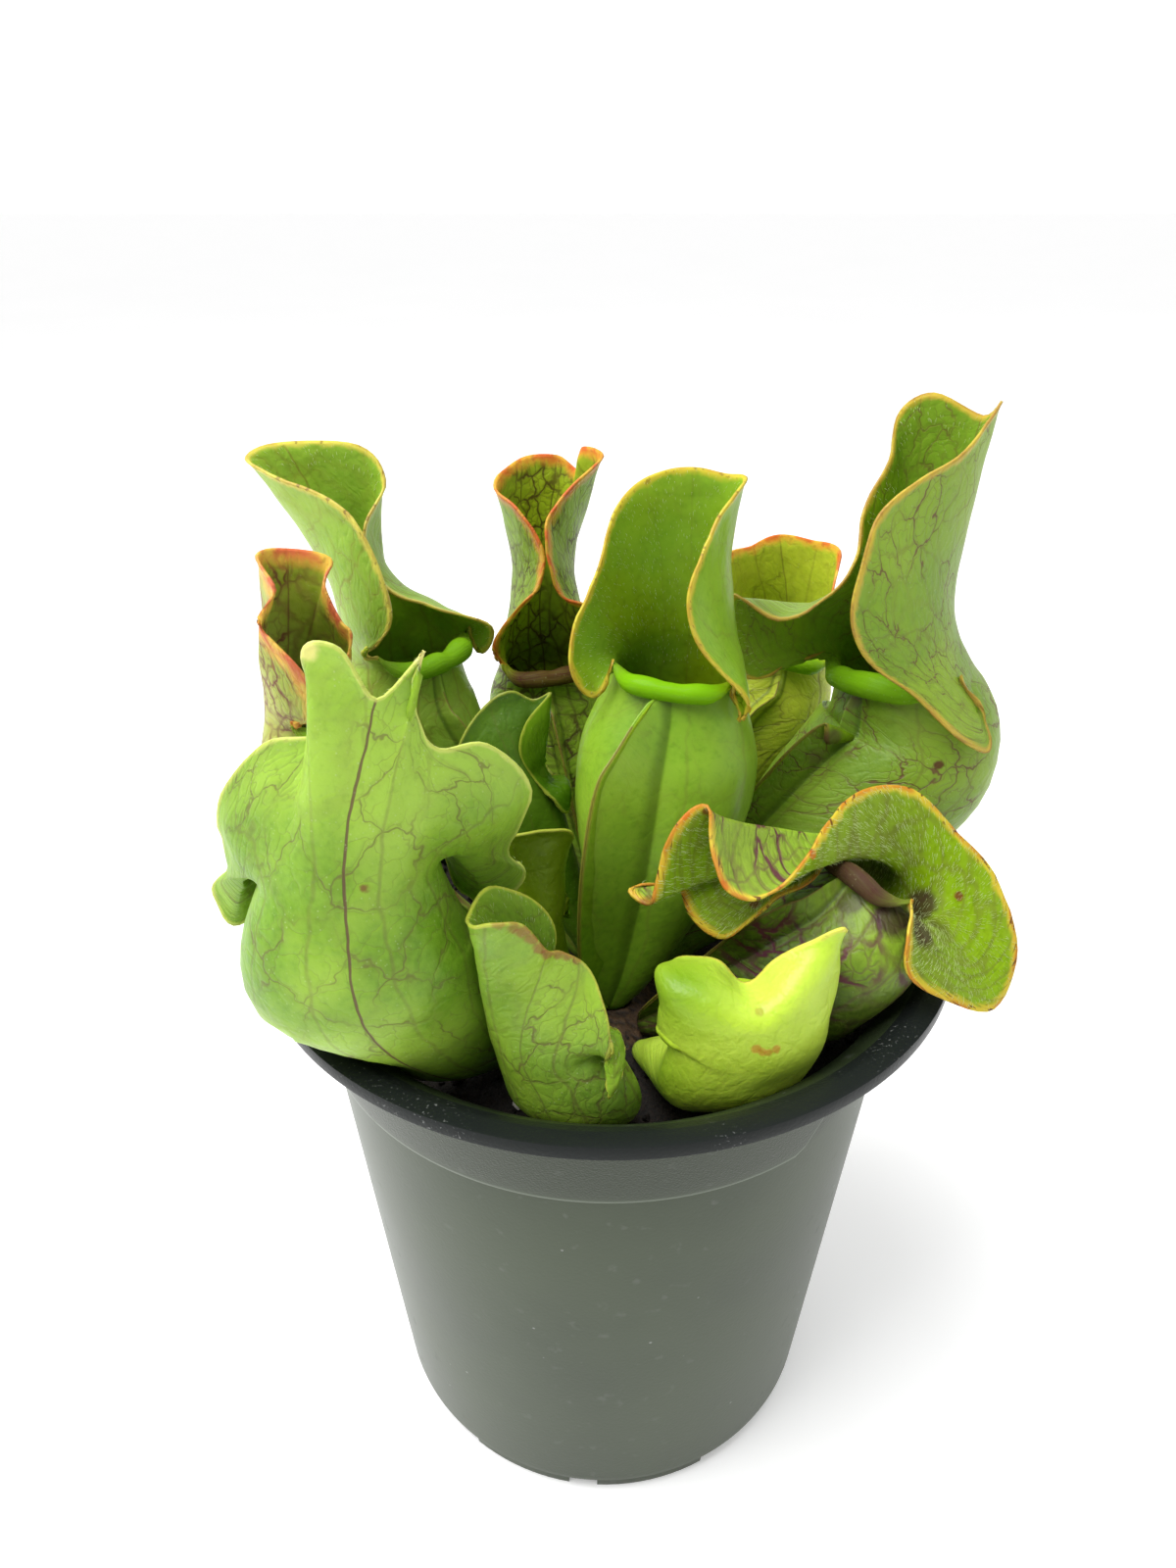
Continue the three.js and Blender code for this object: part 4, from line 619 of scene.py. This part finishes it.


# each leaf's own look. marks: a colour, how strong it is, and the marks, as x, y, z and radius. A few large
# green blots among them are painted shade.
brown = (112, 58, 34)
darkPurple = (58, 22, 36)
orange = (196, 104, 34)
scorched = (138, 80, 42)
looks = {
    # front_left: the large dark green blot among its marks is painted shade on the hood's right side
    "front_left": dict(green=(104, 146, 28), vein=(92, 40, 50), midrib=0.8, midribWidth=0.26, net=0.5,
        netCell=12, netWidth=0.24, light=(156, 192, 64), hoodPaintedLight=0.55, stubble=0.2, redness=0,
        gold=(196, 204, 100),
        marks=[(brown, 0.8, (-43.4, -64.6, 196, 1.1)), ((226, 216, 130), 0.8, (-50, -59, 239, 3),
            (-31, -56, 237, 3)), ((84, 112, 24), 0.35, (-17, -45, 190, 11))]),
    "centre_tall": dict(green=(124, 166, 40), light=(148, 186, 52), deep=(60, 102, 10),
        inside=(132, 158, 2), veins=0.18, net=0.12, midrib=0.2, gold=(214, 188, 62), goldWidth=1.3,
        red=(164, 98, 36), roughness=0.34, bump=0.4, redness=0.4, lip=(112, 172, 16), stubble=0.03,
        spots=0.45, shade=0.04),
    "back_right": dict(green=(110, 146, 34), light=(136, 166, 48), inside=(122, 156, 0),
        vein=(98, 48, 48), net=0.8, netCell=8, gold=(202, 168, 62), goldWidth=1.3, red=(146, 92, 44),
        redness=0.5,
        marks=[((84, 40, 24), 0.9, (76, -1.9, 187.6, 1.3)), ((92, 46, 62), 0.45, (57.7, 12.4, 197.3, 2.6)),
            ((92, 46, 62), 0.5, (54.6, 9.4, 194.6, 2.6), (52.9, 6.7, 190, 3)), ((92, 46, 62), 0.4,
            (50.3, 8, 184, 3))]),
    "back_left": dict(green=(128, 166, 48), light=(156, 186, 70), inside=(158, 190, 44), veins=0.35,
        vein=(120, 60, 40), gold=(214, 196, 84), goldWidth=1.2, spots=0.5, redness=0.4),
    "left_red": dict(green=(140, 160, 60), light=(172, 176, 84), inside=(138, 158, 32),
        vein=(104, 26, 48), net=0.8, netCell=7, netWidth=0.42, veins=0.6, veinGap=7, gold=(226, 178, 74),
        goldWidth=3.6, red=(196, 84, 62), redWidth=2, redness=0.85, shade=0.3, insideVeins=0.9),
    "back_centre": dict(green=(120, 142, 40), inside=(176, 190, 40), vein=(66, 18, 32), net=0.75,
        netCell=6, netWidth=0.36, veins=0.6, veinGap=7, gold=(222, 160, 58), goldWidth=2.4, red=(198, 78, 42),
        redWidth=1.3, redness=0.8, shade=0.25, lip=(74, 24, 34), insideVeins=1),
    "far_back": dict(green=(172, 186, 44), light=(190, 200, 62), inside=(176, 186, 48), vein=(74, 36, 34),
        net=0.5, netCell=7, veins=0.6, gold=(226, 170, 60), goldWidth=2, red=(204, 84, 38), redWidth=1.2,
        redness=0.8),
    "right_front": dict(green=(118, 140, 38), inside=(122, 156, 2), vein=(92, 26, 58), net=0.9, netCell=8,
        netWidth=0.55, veins=0.55, veinGap=7, deep=(38, 56, 10), dark=(0, -26), tubeShade=0.85,
        gold=(218, 190, 60), goldWidth=1.6, red=(186, 98, 36), redWidth=0.8, redness=0.7, spots=0.9,
        lip=(72, 24, 44), insideVeins=0.12, shade=0.22,
        marks=[(brown, 0.9, (76.5, -26, 167.8, 1.2)), (darkPurple, 0.85, (58, -39.5, 171.4, 4.5),
            (69, -25, 164.7, 4.5)), (darkPurple, 0.8, (64, -42, 171, 4.5)), (darkPurple, 0.75,
            (69, -33, 165, 5)), (darkPurple, 0.7, (50, -36, 173.5, 3.5)), (orange, 0.8,
            (41, -37, 185.7, 1.3), (22.4, -45.7, 183.7, 1.4), (14.9, -37.1, 194.9, 1.2)), (brown, 0.8,
            (30.8, -33, 170.9, 1.5), (19.3, -35.6, 194.9, 1.2)), (brown, 0.7, (7.7, -41, 177, 2))]),
    "front_small": dict(green=(112, 150, 46), inside=(120, 156, 40), vein=(88, 38, 48), net=0.55,
        netCell=8, netWidth=0.24, veins=0.4, midrib=0.35, midribWidth=0.2, goldness=0.5, goldWidth=0.5,
        redness=0.1, stubble=0.2,
        marks=[(scorched, 0.6, (-17.5, -67.4, 190, 1.5), (-6.2, -62.4, 179.2, 1.4)), (scorched, 0.7,
            (-16, -67, 188.6, 1.6), (-14.4, -66.4, 186.6, 1.5), (-13, -65.8, 184.3, 1.6),
            (-11.6, -65.2, 182.6, 1.6), (-9.8, -63.8, 181.4, 1.5), (-8, -63, 180.4, 1.4)), (scorched, 0.5,
            (-20, -68.2, 191, 1.3))]),
    # front_right_young: the three large green blots among its marks are painted shade on the bud's lobe and
    # lower body
    "front_right_young": dict(green=(180, 212, 56), light=(200, 228, 82), deep=(140, 184, 30),
        inside=(170, 202, 50), midrib=0, veins=0.05, net=0.03, shade=0, gold=(226, 218, 90), goldWidth=0.8,
        redness=0.2, roughness=0.36, stubble=0.02, lip=(180, 212, 50),
        marks=[((100, 144, 6), 0.85, (13, -57, 170, 15)), ((140, 178, 26), 0.6, (47, -50, 150, 12)),
            ((130, 170, 20), 0.6, (12, -57, 148, 10)), (orange, 0.6, (28, -63.2, 158.1, 1.1),
            (29.2, -63.2, 157.2, 1), (30.6, -63, 156.9, 1), (31.9, -62.7, 157.4, 1)), ((150, 110, 40), 0.5,
            (28.4, -59.9, 164.5, 1.2)), ((150, 110, 40), 0.4, (28.3, -58.4, 165.6, 1))]),
    "middle": dict(green=(62, 98, 10), light=(78, 112, 16), deep=(40, 68, 8), inside=(96, 132, 12),
        veins=0.1, net=0.05, midrib=0.1, goldness=0.35, goldWidth=0.5, redness=0, shade=0),
    "middle_young": dict(green=(92, 116, 2), light=(106, 130, 6), deep=(46, 68, 4), inside=(84, 108, 4),
        veins=0.08, net=0.05, midrib=0.1, goldness=0.4, goldWidth=0.4, redness=0, shade=0),
}

hairGround = {}
for place, leaf in leaves.items():
    name = "pitcher_" + place
    skins = [leafMaterial(name + side, looks[place], side == "_inside") for side in ("_outside", "_inside")]
    hairGround[place] = buildLeaf(name, {**leafDefaults, **leaf}, skins)
    print("leaf made:", name)

# hairs, on the inside of a hood or along its margin. count: how many. length: shortest and longest.
# reach: how far from the edge they may stand. out: how far they stand off the wall.
hairThickness = 0.032
hairs = {
    "right_front": dict(count=4200, length=(0.8, 1.7), reach=60, out=0.35),
    "centre_tall": dict(count=1500, length=(0.4, 0.9), reach=60, out=0.4),
    "front_small": dict(count=500, length=(0.6, 1.3), reach=30, out=0.4),
    "back_left": dict(count=300, length=(0.6, 1.2), reach=5, out=0.5),
    "back_right": dict(count=500, length=(0.6, 1.2), reach=6, out=0.5),
    "front_left": dict(count=900, length=(0.5, 1.1), reach=1.2, out=0.9),
}


def buildHairs(name, points, settings, dice):
    curve = bpy.data.curves.new(name, "CURVE")
    curve.dimensions = "3D"
    curve.bevel_depth = hairThickness * mm
    curve.bevel_resolution = 0
    cells = []
    areas = []
    for low, high in zip(points, points[1:]):
        for j in range(1, len(low) - 2):
            if low[j] and high[j] and high[j + 1] and high[j][2] < settings["reach"] and low[j][3] < 0.02:
                cells.append((low[j], high[j], high[j + 1]))
                areas.append((high[j][0] - low[j][0]).cross(high[j + 1][0] - high[j][0]).length)
    for below, above, beside in dice.choices(cells, areas, k=settings["count"]):
        up = above[0] - below[0]
        foot = below[0] + up * dice.random() + (beside[0] - above[0]) * dice.random()
        foot -= above[1] * (leafShape["wallThickness"] * 0.9 * mm)
        length = dice.uniform(*settings["length"]) * mm
        stray = Vector([dice.gauss(0, 0.14) for _ in range(3)])
        lie = (stray - up.normalized() - above[1] * settings["out"]).normalized()
        bend = (lie - above[1] * 0.3).normalized()
        spline = curve.splines.new("POLY")
        spline.points.add(2)
        for point, place, width in zip(spline.points, (Vector(), bend * 0.5, lie), (1, 0.75, 0.15)):
            point.co = (*(foot + place * length), 1)
            point.radius = width
    curve.materials.append(hairSkin)
    addPiece(curve)


hairSkin, shader, solid = newMaterial("leaf_hair", Roughness=0.5)
plug(layered((176, 200, 106), (grain(solid, 0.003), (222, 232, 176))), shader, "Base Color")
hairDice = random.Random(11)
for place, settings in hairs.items():
    buildHairs("pitcher_" + place + "_hairs", hairGround[place], settings, hairDice)
print("hairs made")


# the pot, in mm. Bearings run from the front towards the viewer's right, in degrees.
potShape = dict(
    height=152, rimRadius=82.5, rimLip=3, rimFace=3.8, mouthDepth=7, baseRadius=58.6,
    taper=0.0878, wall=1.4, deepCollar=123, shallowCollar=143, collarTop=75,
    collarTaper=0.17, outerRows=(5, 6.5, 35, 65, 95, 118), collarRows=(130, 140),
    innerRows=(143.5, 130, 75, 8, 6), floor=3, footInner=51, footOuter=57.4,
    footSpans=((-37, -9.5), (-2, 27)), footSteps=10, drainRadius=6, drainCircle=36,
    drainBearing=40, sides=192, edgeRound=0.45,
)


def wallRadius(z):
    return potShape["baseRadius"] + potShape["taper"] * z


def innerRadius(z):
    return wallRadius(z) - potShape["wall"]


def collarRadius(z):
    return potShape["collarTop"] - potShape["collarTaper"] * (potShape["height"] - potShape["rimLip"] - z)


def onCircle(bearing, radius, z):
    turn = math.radians(bearing)
    return Vector((radius * math.sin(turn), -radius * math.cos(turn), z)) + potAxis


def collarStep(x, y):  # the collar is deep over two opposite sectors, and its step sweeps up between them
    turn = math.degrees(math.atan2(x, -y)) % 180
    shallow = smoothRise(turn, 34, 43) * (1 - smoothRise(turn, 75, 85))
    return potShape["deepCollar"] + (potShape["shallowCollar"] - potShape["deepCollar"]) * shallow


def spinProfile(bm, profile, sides):  # a closed turned shape round the pot's axis
    verts = [bm.verts.new(Vector((r, 0, z)) * mm) for r, z in profile]
    edges = [bm.edges.new(pair) for pair in zip(verts, verts[1:])]
    bmesh.ops.spin(bm, geom=verts + edges, axis=(0, 0, 1), cent=(0, 0, 0), angle=2 * math.pi, steps=sides,
                   use_merge=True, use_duplicate=False)
    bmesh.ops.remove_doubles(bm, verts=bm.verts, dist=0.01 * mm)


def buildPot(materials):
    pot = potShape
    top = pot["height"]
    under = top - pot["rimLip"]
    step = pot["deepCollar"]
    rim = pot["rimRadius"]
    face = rim - pot["rimFace"]
    base = pot["baseRadius"]
    floorTop = pot["floor"] + pot["wall"]

    profile = [(0, pot["floor"]), (base - 3.5, pot["floor"]), (base - 2.5, pot["floor"])]
    profile += [(wallRadius(z), z) for z in (*pot["outerRows"], step - 0.8, step)]
    collarRows = (step + 1, step + 1.8, *pot["collarRows"], under - 1.8, under - 1)
    profile += [(collarRadius(z), z) for z in collarRows]
    profile += [(pot["collarTop"] + 0.6, under), (rim - 0.8, under), (rim, under), (rim, top)]
    profile += [(rim - 0.8, top), (face, top), (face - 0.6, top - 0.32), (face - 3, top - 1.6)]
    profile += [(innerRadius(z), z) for z in (top - pot["mouthDepth"], *pot["innerRows"])]
    profile += [(innerRadius(6) - 2, floorTop), (0, floorTop)]
    bm = bmesh.new()
    spinProfile(bm, profile, pot["sides"])
    for vert in bm.verts:
        x, y, z = vert.co / mm
        if step - 1 < z < under - 2 and math.hypot(x, y) > innerRadius(z) + 0.5:
            room = min(1, (under - 1.8 - z) / (under - 3.6 - step))
            height = z + (collarStep(x, y) - step) * room
            radius = collarRadius(height) if z > step + 0.5 else wallRadius(height)
            scale = radius / math.hypot(x, y)
            vert.co = Vector((x * scale, y * scale, height)) * mm
    bmesh.ops.recalc_face_normals(bm, faces=bm.faces)
    for face in bm.faces:
        centre = face.calc_center_median() / mm
        inner = centre.z > 4 and centre.xy.length < innerRadius(min(centre.z, 146)) + 0.6
        face.material_index = 1 if inner or centre.z > under - 0.2 else 0
    bmesh.ops.translate(bm, verts=bm.verts, vec=potAxis * mm)

    # feet: low arcs under the floor's edge
    inner = pot["footInner"]
    outer = pot["footOuter"]
    footTop = pot["floor"] + 0.6
    for quarter in range(4):
        for start, end in pot["footSpans"]:
            before = set(bm.faces)
            corners = [(inner, 0), (outer, 0), (outer + 0.4, footTop), (inner, footTop)]
            face = bm.faces.new([bm.verts.new(onCircle(90 * quarter + start, r, z) * mm) for r, z in corners])
            bmesh.ops.spin(bm, geom=[face], axis=(0, 0, 1), cent=potAxis * mm, steps=pot["footSteps"],
                           angle=math.radians(end - start), use_duplicate=False)
            bmesh.ops.recalc_face_normals(bm, faces=[f for f in bm.faces if f not in before])
    piece = addPiece(newMesh("nursery_pot", bm, materials))

    # drain holes, cut by a cutter that doesn't stay
    cutter = bmesh.new()
    width = pot["drainRadius"] * mm
    centres = [Vector(potAxis)]
    centres += [onCircle(90 * k + pot["drainBearing"], pot["drainCircle"], 0) for k in range(4)]
    for centre in centres:
        place = Matrix.Translation((centre + Vector((0, 0, pot["floor"] + pot["wall"] / 2))) * mm)
        bmesh.ops.create_cone(cutter, cap_ends=True, segments=32, radius1=width, radius2=width,
                              depth=4 * pot["wall"] * mm, matrix=place)
    drill = newObject(newMesh("drain_cutter", cutter, (), False))
    cut = piece.modifiers.new("drains", "BOOLEAN")
    cut.object = drill
    cut.solver = "EXACT"
    bpy.context.view_layer.update()
    drilled = bpy.data.meshes.new_from_object(piece.evaluated_get(bpy.context.evaluated_depsgraph_get()))
    piece.modifiers.remove(cut)
    piece.data = drilled
    bpy.data.objects.remove(drill)

    # the collar's lower edge, marked for a pale painted highlight along it
    ledgeHighlight = drilled.attributes.new("ledgeHighlight", "FLOAT", "POINT")
    for vert, mark in zip(drilled.vertices, ledgeHighlight.data):
        x, y, z = vert.co / mm - potAxis
        onLedge = -0.6 < z - collarStep(x, y) < 1.3 and math.hypot(x, y) > innerRadius(z) + 0.7
        mark.value = 1 if onLedge else 0
    bevel = piece.modifiers.new("rounded", "BEVEL")
    bevel.width = pot["edgeRound"] * mm
    bevel.segments = 3
    bevel.limit_method = "ANGLE"
    bevel.angle_limit = math.radians(30)
    bevel.profile = 0.5
    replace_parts(piece, "pot")


# collar: the collar band's colour, darker as painted shade under the rim
potLook = dict(
    # edge: the pale painted highlight along the collar's ledge
    green=(50, 60, 40), pale=(60, 70, 49), collar=(40, 49, 31), edge=(150, 162, 142),
    black=(26, 30, 28), worn=(30, 33, 35), dust=(150, 152, 150),
)


def potMaterials():
    look = potLook
    outside, shader, solid = newMaterial("pot_grey_green", Roughness=0.4, Specular_IOR_Level=0.26)
    cloud = grain(solid, 0.05, 3)
    collar = (solid.add("SeparateXYZ", {}, {0: solid}, 2) / mm).rise(122, 128)
    scuffs = grain(solid, 0.004, 4).rise(0.62, 0.75)
    # painted highlight along the collar's lower edge
    ledgeHighlight = solid.add("Attribute", {"attribute_name": "ledgeHighlight"}, {}, "Fac") * (0.4 + 0.6 * cloud)
    specks = solid.add("TexVoronoi", {"feature": "F1"}, {"Vector": solid, "Scale": 90}).rise(0.04, 0.025)
    leather = solid.add("TexVoronoi", {"feature": "SMOOTH_F1"}, {"Vector": solid, "Scale": 2500})
    # the collar band is painted darker, as shade under the rim
    colour = layered(look["green"], (cloud.rise(0.3, 0.7), look["pale"]), (collar * 0.85, look["collar"]),
                     (scuffs * 0.12, look["dust"]), (ledgeHighlight * 0.5, look["edge"]), (specks * 0.5, look["dust"]))
    height = leather * collar * 0.12 + grain(solid, 0.0009) * 0.05 + cloud * 0.3
    finishSkin(shader, colour, 0.3 + 0.1 * cloud + scuffs * 0.1, height, 0.0006)

    black, shader, solid = newMaterial("pot_black_rim", Roughness=0.3, Specular_IOR_Level=0.1)
    cloud = grain(solid, 0.03, 3)
    dust = grain(solid, 0.0007, 3).rise(0.6, 0.78) * grain(solid, 0.02, 3).rise(0.45, 0.7)
    colour = layered(look["black"], (cloud * 0.4, look["worn"]), (dust * 0.6, look["dust"]))
    finishSkin(shader, colour, 0.24 + 0.14 * cloud + dust * 0.3, grain(solid, 0.0008) * 0.2 + cloud, 0.0003)
    return [outside, black]


buildPot(potMaterials())
print("pot made")


# the peat and the rhizome, in mm
peatShape = dict(
    level=128, bottom=4.7, gap=0.45, sides=150, rings=44, lumps=1.1, strewn=0.97,
    crumbs=420, crumbSizes=(0.5, 1.6), perlite=46, perliteSizes=(0.7, 1.7), seed=5,
)


def peatTop(x, y):
    place = Vector((x, y, 0))
    rise = 0.7 * math.sin(x * 0.21 + 1) * math.cos(y * 0.17) + 0.5 * math.sin(x * 0.43 - y * 0.37)
    rough = noise.noise(place / 7) + 0.5 * noise.noise(place / 2.6) + 0.3 * noise.noise(place / 1.1)
    return peatShape["level"] + rise + peatShape["lumps"] * rough


def buildPeat(materials):
    peat = peatShape
    level = peat["level"]
    side = innerRadius(level) - peat["gap"]
    low = innerRadius(6) - peat["gap"]
    profile = [(0, peat["bottom"]), (low - 2.2, peat["bottom"]), (low, 7), (side, level - 1)]
    profile += [(side * (1 - (i + 1) / peat["rings"]), level) for i in range(peat["rings"])]
    bm = bmesh.new()
    spinProfile(bm, profile, peat["sides"])
    for vert in bm.verts:
        x, y, z = vert.co / mm
        if z > level - 0.5:
            vert.co.z = peatTop(x, y) * mm
    bmesh.ops.recalc_face_normals(bm, faces=bm.faces)
    bmesh.ops.translate(bm, verts=bm.verts, vec=potAxis * mm)
    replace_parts(addPiece(newMesh("peat_bed", bm, materials)), "peat")


def buildLumps(name, count, sizes, materials, dice):  # crumbs or grains that lie on the peat
    bm = bmesh.new()
    reach = (wallRadius(peatShape["level"]) - 2) * peatShape["strewn"]
    for _ in range(count):
        radius = reach * math.sqrt(dice.random())
        bearing = dice.uniform(0, 2 * math.pi)
        x = radius * math.cos(bearing)
        y = radius * math.sin(bearing)
        size = dice.uniform(*sizes)
        turn = Matrix.Rotation(dice.uniform(0, 6.28), 4, "Z") @ Matrix.Rotation(dice.uniform(0, 6.28), 4, "X")
        squash = Matrix.Diagonal((dice.uniform(0.6, 1.4), dice.uniform(0.6, 1.2), dice.uniform(0.5, 1), 1))
        place = Matrix.Translation((Vector((x, y, peatTop(x, y) + size * 0.3)) + potAxis) * mm)
        made = bmesh.ops.create_icosphere(bm, subdivisions=1, radius=size * mm, matrix=place @ turn @ squash)
        for vert in made["verts"]:
            vert.co += noise.noise_vector(vert.co / mm * 0.9) * (size * 0.35 * mm)
    addPiece(newMesh(name, bm, materials, False))


def speckledMaterial(name, dark, pale, size, roughness, depth):
    material, shader, solid = newMaterial(name, Roughness=roughness)
    spots = grain(solid, size, 4)
    broad = grain(solid, size * 9, 3)
    colour = layered(dark, (spots.rise(0.3, 0.7), pale), (broad.rise(0.4, 0.7) * 0.4, dark))
    finishSkin(shader, colour, roughness + 0.15 * (spots - 0.5), spots, depth)
    return material


dice = random.Random(peatShape["seed"])
noise.seed_set(peatShape["seed"])
# the peat is dark, and is painted darker still as shade deep in the crown
peatDark = speckledMaterial("peat_dark_with_painted_shade", (17, 13, 9), (40, 30, 21), 0.0011, 0.85, 0.0008)
perliteWhite = speckledMaterial("perlite_grains", (176, 170, 158), (226, 222, 212), 0.0008, 0.8, 0.0003)
rhizomeSkin = speckledMaterial("rhizome_skin", (34, 22, 13), (84, 60, 36), 0.0016, 0.7, 0.0008)
buildPeat([peatDark])
buildLumps("peat_crumbs", peatShape["crumbs"], peatShape["crumbSizes"], [peatDark], dice)
buildLumps("perlite", peatShape["perlite"], peatShape["perliteSizes"], [perliteWhite], dice)
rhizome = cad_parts["rhizome_and_roots"]
rhizome.data.materials.clear()
rhizome.data.materials.append(rhizomeSkin)
print("peat made")


# the camera, the floor and the light
view = dict(place=(-4.424, -222.6, 303.0), pitch=28.59, lens=24.95)  # place: from the pot's axis
cameraData = bpy.data.cameras.new("camera")
cameraData.lens = view["lens"]
cameraData.sensor_width = 36
cameraData.clip_start = 0.01
camera = newObject(cameraData)
camera.location = (potAxis + Vector(view["place"])) * mm
camera.rotation_euler = (math.radians(90 - view["pitch"]), 0, 0)
scene.camera = camera

studio = dict(
    floorSize=40, floor=(246, 246, 246), floorPale=(249, 249, 249), floorGlow=0.26,
    sky=0.8, horizon=1.18, front=0.4,
    keyPower=17, keySize=0.9, keyPlace=(-0.45, -0.15, 1.1), keyAim=(0, 0, 0.15),
)
paper, shader, solid = newMaterial("floor_paper", Roughness=0.8, Emission_Strength=studio["floorGlow"],
                                   Emission_Color=(1, 1, 1, 1))
tone = grain(solid, 0.4).rise(0.2, 0.8)
plug(layered(studio["floor"], (tone, studio["floorPale"])), shader, "Base Color")
bm = bmesh.new()
bmesh.ops.create_grid(bm, x_segments=1, y_segments=1, size=studio["floorSize"] / 2)
newObject(newMesh("floor", bm, [paper], False))

world = bpy.data.worlds.new("studio")
scene.world = world
world.use_nodes = True
background = world.node_tree.nodes["Background"]
direction = Wire(world.node_tree).add("TexCoord", {}, {}, "Generated")
up = direction.add("SeparateXYZ", {}, {0: direction}, 2)
back = direction.add("SeparateXYZ", {}, {0: direction}, 1)
glow = studio["horizon"] - (studio["horizon"] - studio["sky"]) * up.rise(0.15, 0.6)
glow = glow - (studio["horizon"] - studio["front"]) * back.rise(-0.3, -0.8) * up.rise(0.9, 0.5)
plug(glow, background, "Strength")
background.inputs["Color"].default_value = (1, 1, 1, 1)

keyData = bpy.data.lights.new("key", "AREA")
keyData.energy = studio["keyPower"]
keyData.size = studio["keySize"]
key = newObject(keyData)
key.location = studio["keyPlace"]
key.rotation_euler = (Vector(studio["keyAim"]) - key.location).to_track_quat("-Z", "Y").to_euler()
scene.view_settings.view_transform = "Standard"
print("camera and light set")
